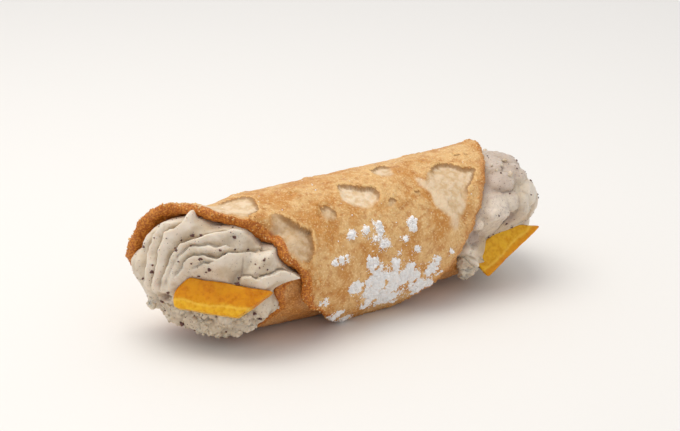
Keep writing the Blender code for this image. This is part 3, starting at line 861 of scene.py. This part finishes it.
# %% Folds
def fold_relief(u, v, folds):
    """Height in millimetres of soft folds laid one over another."""
    height = np.zeros(u.shape)
    groove = np.zeros(u.shape)
    for corners, rise, gentle, steep in folds:
        distance, at = line_distance(u, v, corners)
        profile = np.where(distance > 0, bell(distance / steep), bell(distance / gentle))
        height = np.maximum(height, rise * profile)
        ends = smooth(0.0, 0.12, at) * smooth(1.0, 0.88, at)
        groove = np.maximum(groove, 0.4 * rise * ends * bell((distance - steep * 1.3) / (steep * 1.1)))
    return height - groove


def mound(u, v, middle_u, middle_v, reach_u, reach_v):
    return bell(np.hypot((u - middle_u) / reach_u, (v - middle_v) / reach_v))


def near_relief(u, v, dome):
    """Relief in millimetres of the near mouth's cream, u sideways and v up, over the smooth dome."""
    calm = np.maximum(mound(u, v, 13, 6, 11, 5), mound(u, v, 19, 1, 7, 6))
    crumbly = np.maximum(smooth(-5.0, -9.0, v), 0.8 * mound(u, v, -13, -6, 6, 4))
    sway = jolts(dome, 0.0034) * 0.7 + jolts(dome, 0.0012) * 0.25
    relief = fold_relief(u + sway[:, 0], v + sway[:, 2], NEAR_FOLDS)
    relief += 0.6 * mound(u, v, -10, 15.5, 3.5, 3) + 0.8 * mound(u, v, -16.5, 10, 2.6, 5)
    relief += 1.0 * mound(u, v, -20, 2.5, 4, 5.5) + 0.8 * mound(u, v, 18.5, -3.5, 3.4, 3.0)
    relief -= 3.4 * mound(u, v, -12.0, -5.4, 3.2, 2.2)
    relief += (0.40 - 0.20 * calm) * lumps(dome, 0.0044) + (0.15 - 0.10 * calm) * lumps(dome, 0.0018)
    curds = 1.9 * (bubbles(dome, 0.0044) - CURD_MIDDLE) + 0.8 * (bubbles(dome, 0.0019) - CURD_MIDDLE)
    relief += crumbly * (curds + 0.40 * lumps(dome, 0.0012))
    return relief, crumbly


FAR_FOLDS = (                 # height of each crest over the mouth's middle at its middle, and its rise
    (15.5, 1.0), (11.5, 1.2), (6.5, 1.4), (1.5, 1.5), (-4.5, 1.4), (-10.0, 1.3), (-14.5, 1.0),
)
FAR_FOLD_DROOP = 0.42         # how steeply the far folds run down towards the front
FAR_LOBES = (                 # middle of each soft lobe, its radius and its rise, all in millimetres
    (48.8, -8.0, 36.0, 4.5, 2.0), (50.5, -2.5, 37.0, 4.6, 1.5), (55.5, -5.5, 36.0, 5.2, 1.8),
    (47.0, -14.5, 32.7, 4.3, 2.2), (53.5, -12.5, 33.5, 4.8, 1.9), (57.0, -17.0, 29.0, 4.8, 1.7),
    (60.0, -14.0, 24.0, 5.5, 1.6), (42.4, -19.6, 28.6, 3.8, 1.9), (41.2, -20.8, 25.4, 4.2, 2.4),
    (39.7, -20.6, 22.8, 3.6, 2.4), (46.8, -20.3, 28.6, 3.3, 1.7), (51.5, -20.3, 26.8, 3.6, 1.6),
    (50.5, -20.8, 22.5, 3.4, 1.5), (35.2, -19.2, 23.6, 2.0, 2.0), (36.8, -19.8, 21.2, 2.0, 2.2),
    (38.7, -20.6, 20.2, 1.8, 2.2), (40.5, -20.8, 21.3, 1.8, 1.8), (31.7, -17.7, 16.3, 2.3, 2.2),
    (34.0, -18.0, 15.4, 2.3, 2.4), (36.5, -17.9, 14.2, 2.2, 2.2), (39.4, -18.3, 12.8, 1.9, 1.8),
    (34.6, -15.6, 11.0, 3.2, 3.0), (35.5, -14.2, 7.5, 3.4, 3.6),
)
FAR_HOLLOWS = ((46.1, -21.0, 23.4, 2.3, 1.8), (34.9, -20.0, 18.9, 3.4, 1.4), (41.4, -13.8, 8.2, 2.4, 2.2))


def soft_lobes(dome, lobes):
    """Height in millimetres of round lobes pressed against one another, with creases in between."""
    height = np.zeros(len(dome))
    for x, y, z, radius, rise in lobes:
        share = np.linalg.norm(dome / MM - (x, y, z), axis=1) / radius
        height = np.maximum(height, rise * np.sqrt(np.maximum(0.0, 1 - share * share)))
    return height


def far_relief(u, v, dome):
    """Relief in millimetres of the far mouth's cream: lobes at the front, folds all round."""
    level = v - FAR_FOLD_DROOP * u + 1.5 * lumps(dome, 0.0110)
    folds = np.zeros(u.shape)
    for crest, rise in FAR_FOLDS:
        distance = crest - level
        folds = np.maximum(folds, rise * np.where(distance > 0, bell(distance / 0.9), bell(distance / 4.4)))
    swayed = dome + (jolts(dome, 0.0036) * 0.9 + jolts(dome, 0.0013) * 0.3) * MM
    relief = np.maximum(0.5 * folds, 1.25 * soft_lobes(swayed, FAR_LOBES)) - soft_lobes(swayed, FAR_HOLLOWS)
    relief += 0.35 * lumps(dome, 0.0042) + 0.16 * lumps(dome, 0.0018)
    crumbly = smooth(11.0, 14.0, v)
    relief += crumbly * 0.6 * (bubbles(dome, 0.0026) - CURD_MIDDLE)
    return relief, crumbly


# %% The filling, as one ball stretched through the shell
def cream_dome(turn, latitude, side):
    """Points of the smooth dome at one mouth, how far up the dome they lie, and which way is out."""
    share = np.abs(latitude)
    ring = mouth_ring(turn, side)
    rise = np.clip((share - MOUTH_SHARE) / (1 - MOUTH_SHARE), 0.0, 1.0) * math.pi / 2
    out, sideways = mouth_axes(side)
    middle = MOUTH_MIDDLE[side] + sideways * HEART[side][0] + np.array([0, 0, HEART[side][1]])
    past_bottom = np.maximum(0.0, np.abs(turn % math.tau - math.pi) - OVERFLOW_FULL)
    spill = OVERFLOW * bell(past_bottom / OVERFLOW_FADE) * np.sin(2 * rise)
    away = ring - middle
    away /= np.linalg.norm(away, axis=1)[:, None]
    point = middle + (ring - middle) * (np.cos(rise) ** FULLNESS[side])[:, None]
    point += away * spill[:, None] + out * (BULGE[side] * np.sin(rise) ** FULLNESS[side])[:, None]
    hidden_end = side * layer_reaches(turn, side).mean(0)
    hidden_radius = bore_radius(turn, WRAP_HALF_TURN, BODY_STEP)
    body = round_axis(hidden_end * np.minimum(1.0, share / BODY_SHARE), turn, hidden_radius)
    leaving = np.clip((share - BODY_SHARE) / (MOUTH_SHARE - BODY_SHARE), 0.0, 1.0)[:, None]
    point = np.where(leaving < 1, body + (ring - body) * leaving, point)
    direction = out + away * np.cos(rise)[:, None]
    return point, rise, direction / np.linalg.norm(direction, axis=1)[:, None]


def cream_side(turn, latitude, side):
    """Points of the finished cream at one mouth, how much cocoa dust and painted shade they carry, how
    crumbly they are, and their relief.
    """
    dome, rise, direction = cream_dome(turn, latitude, side)
    out, sideways = mouth_axes(side)
    offset = (dome - (NEAR_ORIGIN if side < 0 else MOUTH_MIDDLE[side])) / MM
    from_mouth = LEAN_HEIGHT - offset @ out
    lean = LEAN if side < 0 else (0.0, 0.0)
    u = offset @ sideways + lean[0] * from_mouth
    v = offset[:, 2] + lean[1] * from_mouth
    relief, crumbly = (near_relief if side < 0 else far_relief)(u, v, dome)
    raised = relief * MM * smooth(0.02, 0.30, rise)
    point = dome + direction * raised[:, None]
    if side < 0:
        peak = mound(u, v, -3.8, 18.2, 1.5, 2.4)
        point[:, 2] += 0.0024 * peak
        tip = mound(u, v, 24.0, 4.2, 3.5, 2.2)
        point += sideways * (0.0026 * tip)[:, None] + out * (0.0015 * tip)[:, None]
        smear = bell((u - 10.4 - 0.08 * (v - 5)) / 0.55) * smooth(1.6, 3.0, v) * smooth(8.8, 7.0, v)
        # Cocoa dust in a smear and in patches; the patch in the pocket low on the left is also painted shade.
        cocoa_dust_and_shade = 0.9 * smear + 0.7 * mound(u, v, 14.5, 3.6, 2.2, 1.2) + 0.8 * mound(u, v, -12.5, -6, 4, 2.6)
        cocoa_dust_and_shade += 0.35 * mound(u, v, -9, 7, 4, 5) + 0.4 * mound(u, v, 12, -8.5, 5, 3)
    else:
        cocoa_dust_and_shade = 0.75 * smooth(8.0, 14.0, v) + 0.5 * smooth(-9.0, -14.0, u) * smooth(-6.0, 0.0, v)
        # Painted shade in the hollows between the far lobes.
        cocoa_dust_and_shade += 0.5 * soft_lobes(dome, FAR_HOLLOWS)
    return point, cocoa_dust_and_shade * smooth(0.0, 0.2, rise), crumbly, relief


# %% The cream, mesh and relief
CREAM_LUMPS = (               # loose lumps stuck to the cream: middle and three radii in millimetres
    ((34.3, -15.7, 10.9), (2.9, 2.3, 3.0)), ((34.9, -15.2, 8.2), (2.6, 2.2, 2.8)),
    ((37.9, -14.8, 8.3), (1.6, 1.4, 2.5)), ((33.9, -15.0, 6.6), (1.7, 1.5, 1.6)),
)


def cream_lump(bm, middle, radii, number):
    """Adds one closed lump of cream to the mesh."""
    made = bmesh.ops.create_icosphere(bm, subdivisions=5, radius=1.0)
    for vert in made["verts"]:
        swell = 1 + 0.35 * noise.noise(vert.co * 1.5 + Vector((number * 5.0, 0, 0)))
        swell += 0.16 * noise.noise(vert.co * 4.1)
        vert.co = Vector(middle) * MM + Vector(radius * MM * swell * c for radius, c in zip(radii, vert.co))


ball = bmesh.new()
bmesh.ops.create_uvsphere(ball, u_segments=CREAM_SEGMENTS, v_segments=CREAM_RINGS, radius=1.0)
cream_mesh = new_mesh("ricotta_cream", ball)
flat = read_points(cream_mesh)
latitude = np.arcsin(np.clip(flat[:, 2], -1, 1)) / (math.pi / 2)
turn = np.arctan2(flat[:, 1], flat[:, 0])
place = np.empty_like(flat)
cocoa_dust_and_shade = np.empty(len(flat))
curdy = np.empty(len(flat))
fold = np.empty(len(flat))
for side, chosen in ((-1, latitude < 0), (1, latitude >= 0)):
    parts = cream_side(turn[chosen], latitude[chosen], side)
    place[chosen], cocoa_dust_and_shade[chosen], curdy[chosen], fold[chosen] = parts
for name, (_, where) in PEELS.items():
    place = press_down(place, PEEL_SHOWN[name], where)
place[:, 1] += FRONT_SQUEEZE * np.maximum(0.0, -FRONT_LIMIT - place[:, 1])
place[:, 2] = np.maximum(place[:, 2], CREAM_LIFT)
move_points(cream_mesh, place)
store(cream_mesh, "cocoa_dust_and_shade", cocoa_dust_and_shade)
store(cream_mesh, "fold", fold)
with_lumps = bmesh.new()
with_lumps.from_mesh(cream_mesh)
for number, (middle, radii) in enumerate(CREAM_LUMPS):
    cream_lump(with_lumps, middle, radii, number)
with_lumps.to_mesh(cream_mesh)
with_lumps.free()
cream_mesh.shade_smooth()
open_cream = np.abs(read_points(cream_mesh)[:, 0]) > OPEN_FROM
cocoa_dust_and_shade = np.concatenate([cocoa_dust_and_shade, np.zeros(len(open_cream) - len(cocoa_dust_and_shade))])
print("cream from", place.min(0).round(4), "to", place.max(0).round(4))

# %% [markdown]
# ## Whipped ricotta
# Ricotta is a fine wet curd. Light goes a millimetre or two into it and comes out warmer, which is why it
# looks soft, so the shader scatters light under the skin. Chocolate shaved into the cream leaves dust, which
# is drawn as specks of a tenth of a millimetre or two; the larger flakes are modelled further down.

# %% Whipped ricotta
CREAM_PATCH = 0.0065          # sizes of the soft patches, the curds and their grain
CREAM_CURD = 0.0011
CREAM_GRAIN = 0.00035
SPECK_SPACING = 0.00075
DUST_SPACING = 0.00042


def whipped_ricotta():
    """Sheep's ricotta whipped with sugar: a moist fine curd that light sinks into, specked with cocoa."""
    material, add, shader, place = new_material("whipped_sheep_ricotta")
    soft = add(NOISE, {"Vector": place, "Scale": 1 / CREAM_PATCH, "Detail": 3.0})
    curd = add(NOISE, {"Vector": place, "Scale": 1 / CREAM_CURD, "Detail": 4.0})
    grain = add(NOISE, {"Vector": place, "Scale": 1 / CREAM_GRAIN, "Detail": 2.0})
    fold = add(KEPT, attribute_name="fold").outputs["Fac"]
    cocoa_dust_and_shade = add(KEPT, attribute_name="cocoa_dust_and_shade").outputs["Fac"]
    colour = stain(
        add, "#C9B79E",
        (soft, 0.35, 0.65, 1.00, "#DCCFBC"),
        (curd, 0.52, 0.36, 0.35, "#BFAB92"),
        # Painted shade in the grooves between the folds and painted highlight on their crests.
        (fold, 0.3, -1.2, 0.45, "#A08870"),
        (fold, 1.0, 2.6, 0.55, "#ECE1D3"),
        # Cocoa dust, with painted shade in the pockets and hollows, darkens the cream and brings more specks.
        (add(MATH, [cocoa_dust_and_shade, curd]), 0.75, 1.35, 0.40, "#8C6C66"),
    )
    speck_share = add(MATH, [cocoa_dust_and_shade, 0.6, 0.12], operation="MULTIPLY_ADD")
    for spacing, size, how_many, most, tint in (
        (SPECK_SPACING, 0.24, 0.22, 0.75, "#5B3A35"),
        (DUST_SPACING, 0.30, speck_share, 0.65, "#75524C"),
    ):
        cells = add(CELLS, {"Vector": place, "Scale": 1 / spacing})
        chance = add("ShaderNodeSeparateColor", [cells.outputs["Color"]])
        exists = add(MATH, [how_many, chance], operation="GREATER_THAN")
        colour = stain(add, colour, (cells, size, size * 0.45, most, tint, exists))
    height = add(MATH, [grain, 0.45, curd], operation="MULTIPLY_ADD")
    fill(shader, {
        "Base Color": colour,
        "Roughness": add(MATH, [curd, 0.25, 0.30], operation="MULTIPLY_ADD"),
        "Normal": add(BUMP, {"Height": height, "Strength": 0.45, "Distance": 0.00025}),
        "Subsurface Weight": 0.6,
        "Subsurface Radius": (0.0014, 0.0011, 0.0008),
        "Subsurface Scale": 1.0,
    })
    return material


ricotta = whipped_ricotta()
finish_piece("ricotta_cream", cream_mesh, ricotta, "ricotta_cream", "ricotta_filling")

# %% [markdown]
# ## Candied orange peel
# Each mouth is finished with a strip of orange peel boiled in syrup. The rind is a deep clear orange, the
# cut side below it a pale see-through yellow, and the whole strip is sticky and glossy. A cube is divided,
# cut on the slant and bent; its cut edges are rounded by a bevel, and then every point wavers a little.

# %% A strip of peel
def peel_strip(name, shape, where):
    length, width, start_slant, end_slant = shape
    bm = bmesh.new()
    bmesh.ops.create_cube(bm, size=1.0)
    sharp = bm.edges[:]
    bmesh.ops.transform(bm, matrix=Matrix.Diagonal((length, width, PEEL_THICKNESS, 1)), verts=bm.verts)
    bmesh.ops.bevel(
        bm, geom=sharp, offset=PEEL_EDGE, segments=4, profile=0.5, affect="EDGES", material=-1
    )
    for axis, span, cuts in ((0, length, PEEL_CELLS), (1, width, PEEL_CELLS // 3), (2, PEEL_THICKNESS, 5)):
        long_edges = [e for e in bm.edges if abs(e.verts[0].co[axis] - e.verts[1].co[axis]) > 0.4 * span]
        bmesh.ops.subdivide_edges(bm, edges=long_edges, cuts=cuts, use_grid_fill=True)
    mesh = new_mesh(name, bm)
    flat = read_points(mesh)
    ends = np.where(flat[:, 0] < 0, start_slant, end_slant) * np.abs(2 * flat[:, 0] / length)
    bent = flat.copy()
    blunt = PEEL_BLUNT[name] * (1 - (2 * flat[:, 1] / width) ** 2)
    bent[:, 0] += ends * flat[:, 1] + np.where(flat[:, 0] < 0, blunt * 2 * flat[:, 0] / length, 0.0)
    bent[:, 2] -= PEEL_BEND * bent[:, 0] ** 2
    bent += jolts(bent + len(name), 0.0052) * 0.00030 + jolts(bent, 0.0017) * 0.00010
    turned = np.array(peel_matrix(*where))
    move_points(mesh, bent @ turned[:3, :3].T + turned[:3, 3])
    rind_side, shift = PEEL_RIND[name]
    store(mesh, "across", rind_side * flat[:, 1] / width + shift)
    return mesh


PEEL_SYRUP = 0.0045           # sizes of the clear patches, the oil cells and the grain between them
PEEL_CELL = 0.0012
PEEL_GRAIN = 0.0005


def candied_peel():
    """Orange peel boiled in syrup: clear and glossy, deep orange at the rind and yellow below it."""
    material, add, shader, place = new_material("candied_orange_peel")
    syrup = add(NOISE, {"Vector": place, "Scale": 1 / PEEL_SYRUP, "Detail": 3.0})
    cell = add(NOISE, {"Vector": place, "Scale": 1 / PEEL_CELL, "Detail": 3.0})
    grain = add(NOISE, {"Vector": place, "Scale": 1 / PEEL_GRAIN, "Detail": 2.0})
    across = add(MATH, [syrup, 0.34, add(KEPT, attribute_name="across").outputs["Fac"]],
                 operation="MULTIPLY_ADD")
    rind = stain(add, "#CC7A00", (cell, 0.35, 0.65, 1.0, "#DC8E04"), (syrup, 0.42, 0.60, 0.6, "#E29C0A"))
    line_end = add(RANGE, [across, 0.09, 0.02], **SOFT)
    colour = stain(
        add, "#D99A12",
        (cell, 0.35, 0.65, 1.00, "#E9B426"),
        (across, 0.0, 0.17, 1.00, rind),
        (across, -0.06, 0.01, 0.45, "#F5CC55", line_end),
    )
    height = add(MATH, [grain, 0.35, cell], operation="MULTIPLY_ADD")
    fill(shader, {
        "Base Color": colour,
        "Roughness": add(MATH, [cell, 0.25, 0.18], operation="MULTIPLY_ADD"),
        "Normal": add(BUMP, {"Height": height, "Strength": 0.5, "Distance": 0.00030}),
        "Subsurface Weight": 0.35,
        "Subsurface Radius": (0.0016, 0.0009, 0.0002),
        "Subsurface Scale": 1.0,
        "Specular IOR Level": 0.25,
    })
    return material


orange = candied_peel()
for name, (shape, where) in PEELS.items():
    finish_piece(name.replace("peel", "strip"), peel_strip(name, shape, where), orange, "candied_peel", name)

# %% [markdown]
# ## Scattering
# Chocolate flakes, sugar and crumbs are small solids in their hundreds. Each kind starts from a few lumpy
# grains, and Geometry Nodes sets a copy of one of them at every spot, turned and sized by numbers kept
# with the spots. The copies are then made real, so the result is one plain mesh.

# %% Grains, and a mesh of many grains
def grain_family(name, count, rounds, squash, roughness, seed):
    """A hidden collection of lumpy grains, each about 1 across."""
    family = bpy.data.collections.new(name)
    chance = np.random.default_rng(seed)
    for index in range(count):
        bm = bmesh.new()
        bmesh.ops.create_icosphere(bm, subdivisions=rounds, radius=0.5)
        stretch = 1 + chance.uniform(-squash, squash, 3)
        for vert in bm.verts:
            bump = 1 + roughness * noise.noise(vert.co * 2.3 + Vector((index * 7.1, seed, 0)))
            vert.co = Vector((vert.co[axis] * stretch[axis] * bump for axis in range(3)))
        grain = bpy.data.objects.new(f"{name}_{index}", new_mesh(f"{name}_{index}", bm))
        family.objects.link(grain)
    return family


def grain_widths(chance, count, smallest, more, rarity):
    """Widths from the smallest up to that much more. The higher the rarity, the fewer large ones."""
    return smallest + more * chance.random(count) ** rarity


def scatter(name, places, sizes, lowest, family, seed):
    """One mesh with a grain at every place, none below the lowest height. Sizes are the grains' widths."""
    bm = bmesh.new()
    for x, y, z in places:
        bm.verts.new((x, y, max(z, lowest)))
    spots = new_mesh(name, bm)
    store(spots, "size", sizes)
    chance = np.random.default_rng(seed)
    spin = spots.attributes.new("spin", "FLOAT_VECTOR", "POINT")
    spin.data.foreach_set("vector", chance.uniform(0, math.tau, len(places) * 3))
    tree = bpy.data.node_groups.new(name, "GeometryNodeTree")
    for way in ("INPUT", "OUTPUT"):
        tree.interface.new_socket("Geometry", in_out=way, socket_type="NodeSocketGeometry")
    grains = put(tree, "GeometryNodeCollectionInfo", {
        "Collection": family, "Separate Children": True, "Reset Children": True,
    })
    copies = put(tree, "GeometryNodeInstanceOnPoints", {
        "Points": put(tree, "NodeGroupInput"),
        "Instance": grains,
        "Pick Instance": True,
        "Rotation": put(tree, "GeometryNodeInputNamedAttribute", ["spin"], data_type="FLOAT_VECTOR"),
        "Scale": put(tree, "GeometryNodeInputNamedAttribute", ["size"], data_type="FLOAT"),
    })
    put(tree, "NodeGroupOutput", [put(tree, "GeometryNodeRealizeInstances", [copies])])
    carrier = bpy.data.objects.new(name + "_spots", spots)
    bpy.context.scene.collection.objects.link(carrier)
    carrier.modifiers.new("scatter", "NODES").node_group = tree
    bpy.context.view_layer.update()
    mesh = bpy.data.meshes.new_from_object(carrier.evaluated_get(bpy.context.evaluated_depsgraph_get()))
    mesh.name = name
    bpy.data.objects.remove(carrier)
    for grain in list(family.objects):
        bpy.data.objects.remove(grain)
    mesh.shade_smooth()
    return mesh


def surface_spots(mesh, weight, count, seed, spread):
    """Places on the mesh, picked by weight, with their normals, each moved sideways by up to spread."""
    points = read_points(mesh)
    normals = np.empty(len(points) * 3, dtype=np.float32)
    mesh.vertex_normals.foreach_get("vector", normals)
    normals = normals.reshape(-1, 3)
    chance = np.random.default_rng(seed)
    order = np.lexsort(points.T.round(6))     # a mesh may number its points differently on each run
    share = weight[order] / weight.sum()
    picked = order[chance.choice(len(order), size=count, p=share / share.sum())]
    moved = chance.uniform(-spread, spread, (count, 3))
    moved -= normals[picked] * (moved * normals[picked]).sum(1)[:, None]
    return points[picked] + moved, normals[picked]


# %% [markdown]
# ## Chocolate flakes
# Dark chocolate is chopped into the cream. The larger flakes of the near mouth sit at places of their own,
# and the rest are scattered. A ray sent straight at the mouth finds the cream's surface for each of them.

# %% Chocolate flakes
BIG_FLAKES = (                # millimetres sideways and up on the near cream, and width
    (9.3, 0.3, 1.5), (-7.6, -13.4, 1.6), (1.2, 4.0, 1.1), (-3.8, 13.4, 1.2), (8.2, 14.0, 1.0),
    (-15.7, 1.4, 1.0), (-18.8, -0.9, 0.9), (-18.4, 8.5, 0.9), (-2.0, 1.5, 0.9), (4.4, 9.8, 0.8),
    (5.8, 8.8, 0.8), (-1.3, 6.7, 0.9), (13.8, -8.2, 1.2), (-6.8, -9.9, 0.8), (-0.8, -10.2, 0.9),
    (-11.2, -4.3, 1.1), (-13.4, -7.4, 0.9), (16.9, 8.2, 0.8), (14.3, 6.6, 0.6), (17.7, 5.3, 0.6),
    (11.9, 10.6, 0.7), (8.4, 10.4, 0.6), (-1.4, 13.6, 0.8), (-8.3, 8.6, 0.7), (-7.8, 5.3, 0.6),
    (-4.0, 5.1, 0.6), (-12.8, -10.3, 0.7), (5.4, -14.6, 0.7), (-15.6, 3.4, 0.6), (9.6, 2.0, 0.7),
    (-7.0, 11.6, 0.6), (-8.9, 9.2, 0.5), (0.2, 3.0, 0.7), (-16.0, -9.2, 0.8), (15.2, -9.8, 0.9),
)
FLAKE_COUNT = 300
RAY_START = 0.03              # rays start this far out from the lines' plane


def cream_tree():
    bm = bmesh.new()
    bm.from_mesh(cream_mesh)
    tree = BVHTree.FromBMesh(bm)
    bm.free()
    return tree


def near_spot(tree, sideways_mm, up_mm):
    """The place on the near cream at that point of the fold lines' plane."""
    out, sideways = (Vector(axis) for axis in mouth_axes(-1))
    plane = Vector(NEAR_ORIGIN) + sideways * sideways_mm * MM + Vector((0, 0, up_mm * MM))
    start = plane + out * LEAN_HEIGHT * MM
    ray = (out + sideways * LEAN[0] + Vector((0, 0, LEAN[1]))).normalized()
    return tree.ray_cast(start + ray * RAY_START, -ray)[0]


def loose_grain(name, size, detail, dark, light, start, full):
    """The base of a finish for small loose grains: two colours in lumps of that size."""
    material, add, shader, place = new_material(name)
    lump = add(NOISE, {"Vector": place, "Scale": 1 / size, "Detail": detail})
    fill(shader, {"Base Color": stain(add, dark, (lump, start, full, 1.0, light))})
    return material, add, shader, lump


# Dark chocolate, shaved: dull on its broken faces, with a touch of pale cocoa.
dark_chocolate, add, shader, bloom = loose_grain(
    "dark_chocolate", 0.0006, 3.0, "#50302A", "#7A5046", 0.35, 0.70
)
fill(shader, {
    "Roughness": add(MATH, [bloom, 0.3, 0.35], operation="MULTIPLY_ADD"),
    "Normal": add(BUMP, {"Height": bloom, "Strength": 0.5, "Distance": 0.00008}),
})
cream_rays = cream_tree()
spots = [(near_spot(cream_rays, across, up_there), width) for across, up_there, width in BIG_FLAKES]
spots = [(where, width) for where, width in spots if where is not None]
loose, _ = surface_spots(cream_mesh, open_cream * (0.35 + cocoa_dust_and_shade), FLAKE_COUNT, 5, 0.0004)
loose_sizes = grain_widths(np.random.default_rng(11), FLAKE_COUNT, 0.00022, 0.0005, 3)
flake_places = [*(where for where, _ in spots), *loose.tolist()]
flake_sizes = np.concatenate([[width * MM for _, width in spots], loose_sizes])
flake_family = grain_family("flake", 6, 2, 0.45, 0.9, 3)
flakes = scatter("chocolate_flakes", flake_places, flake_sizes, 0.0005, flake_family, 21)
finish_piece("chocolate_flakes", flakes, dark_chocolate, "ricotta_cream")

# %% [markdown]
# ## Crumbs of ricotta
# Where the cream is pressed against the rim and the peel, and at its lower edge, it breaks into curds. They
# are grains of the same cream, half sunk in it.

# %% Crumbs of ricotta
CURD_COUNT = 200

curd_share = np.concatenate([curdy, np.full(len(open_cream) - len(curdy), 0.25)]) * open_cream
curd_share = curd_share ** 2 * np.where(read_points(cream_mesh)[:, 0] < 0, 1.0, 0.15)
curd_places, _ = surface_spots(cream_mesh, curd_share, CURD_COUNT, 6, 0.0005)
curd_sizes = grain_widths(np.random.default_rng(16), CURD_COUNT, 0.0005, 0.0014, 2)
curd_family = grain_family("curd", 6, 2, 0.35, 0.8, 7)
curds = scatter("ricotta_crumbs", curd_places.tolist(), curd_sizes, 0.0010, curd_family, 24)
store(curds, "cocoa_dust_and_shade", np.zeros(len(curds.vertices)))
finish_piece("ricotta_crumbs", curds, ricotta, "ricotta_cream")

# %% [markdown]
# ## Powdered sugar
# Icing sugar is shaken over the flap. It is so fine that it cakes into soft white lumps of about a
# millimetre, with single crumbs of it all around. The lumps are grains that overlap, densest in the middle
# of each patch.

# %% Powdered sugar
LUMP_COUNT = 2000
DUST_COUNT = 6500

# Icing sugar, ground to a dust and caked: a dead matt white that light passes a little way into.
icing_sugar, add, shader, cake = loose_grain(
    "icing_sugar", 0.0009, 4.0, "#FBF4EF", "#FFFEFD", 0.30, 0.65
)
fill(shader, {
    "Roughness": 0.85,
    "Normal": add(BUMP, {"Height": cake, "Strength": 0.8, "Distance": 0.00015}),
    "Subsurface Weight": 0.3,
    "Subsurface Radius": (0.0006, 0.0006, 0.0006),
    "Subsurface Scale": 1.0,
})
lump_places, lump_normals = surface_spots(slab, powder ** 1.5, LUMP_COUNT, 8, 0.0004)
chance = np.random.default_rng(12)
lump_sizes = grain_widths(chance, LUMP_COUNT, 0.0003, 0.0010, 2)
lump_places = lump_places - lump_normals * (lump_sizes * 0.12)[:, None]
fine_share = (smooth(0.02, 0.5, sugar) * (0.15 + powder) + 0.001) * outer
fine_places, _ = surface_spots(slab, fine_share, DUST_COUNT, 9, 0.0006)
fine_sizes = grain_widths(chance, DUST_COUNT, 0.00012, 0.00030, 2)
sugar_places = np.concatenate([lump_places, fine_places]).tolist()
sugar_sizes = np.concatenate([lump_sizes, fine_sizes])
sugar_family = grain_family("sugar", 5, 1, 0.35, 0.9, 4)
sugar_mesh = scatter("powdered_sugar", sugar_places, sugar_sizes, 0.0006, sugar_family, 22)
finish_piece("powdered_sugar", sugar_mesh, icing_sugar, "fried_dough")

# %% [markdown]
# ## Crumbs of crust
# The cut edge of the dough fries hardest and breaks into golden grains, which cling along the rim.

# %% Crust crumbs
CRUMB_COUNT = 1300

# Crumbs of the same dough, fried dry and golden.
golden_crumb, add, shader, crisp = loose_grain(
    "golden_crumb", 0.0009, 3.0, "#D2903F", "#F0CA8C", 0.35, 0.65
)
fill(shader, {"Roughness": add(MATH, [crisp, 0.2, 0.45], operation="MULTIPLY_ADD")})
rim_share = smooth(0.92, 0.97, edge) * smooth(0.2, 0.8, layer) * smooth(-0.5, -0.3, around)
rim_share *= np.where(along < 0, 1.0, 0.25)
crumb_share = (rim_share + (0.006 + 0.05 * crumple) * outer) * (1 - in_pan)
crumb_places, _ = surface_spots(slab, crumb_share, CRUMB_COUNT, 14, 0.0004)
crumb_sizes = grain_widths(np.random.default_rng(15), CRUMB_COUNT, 0.0002, 0.0005, 2)
crumb_family = grain_family("crumb", 5, 1, 0.35, 0.8, 6)
crumbs = scatter("crust_crumbs", crumb_places.tolist(), crumb_sizes, 0.0004, crumb_family, 23)
finish_piece("crust_crumbs", crumbs, golden_crumb, "fried_dough")
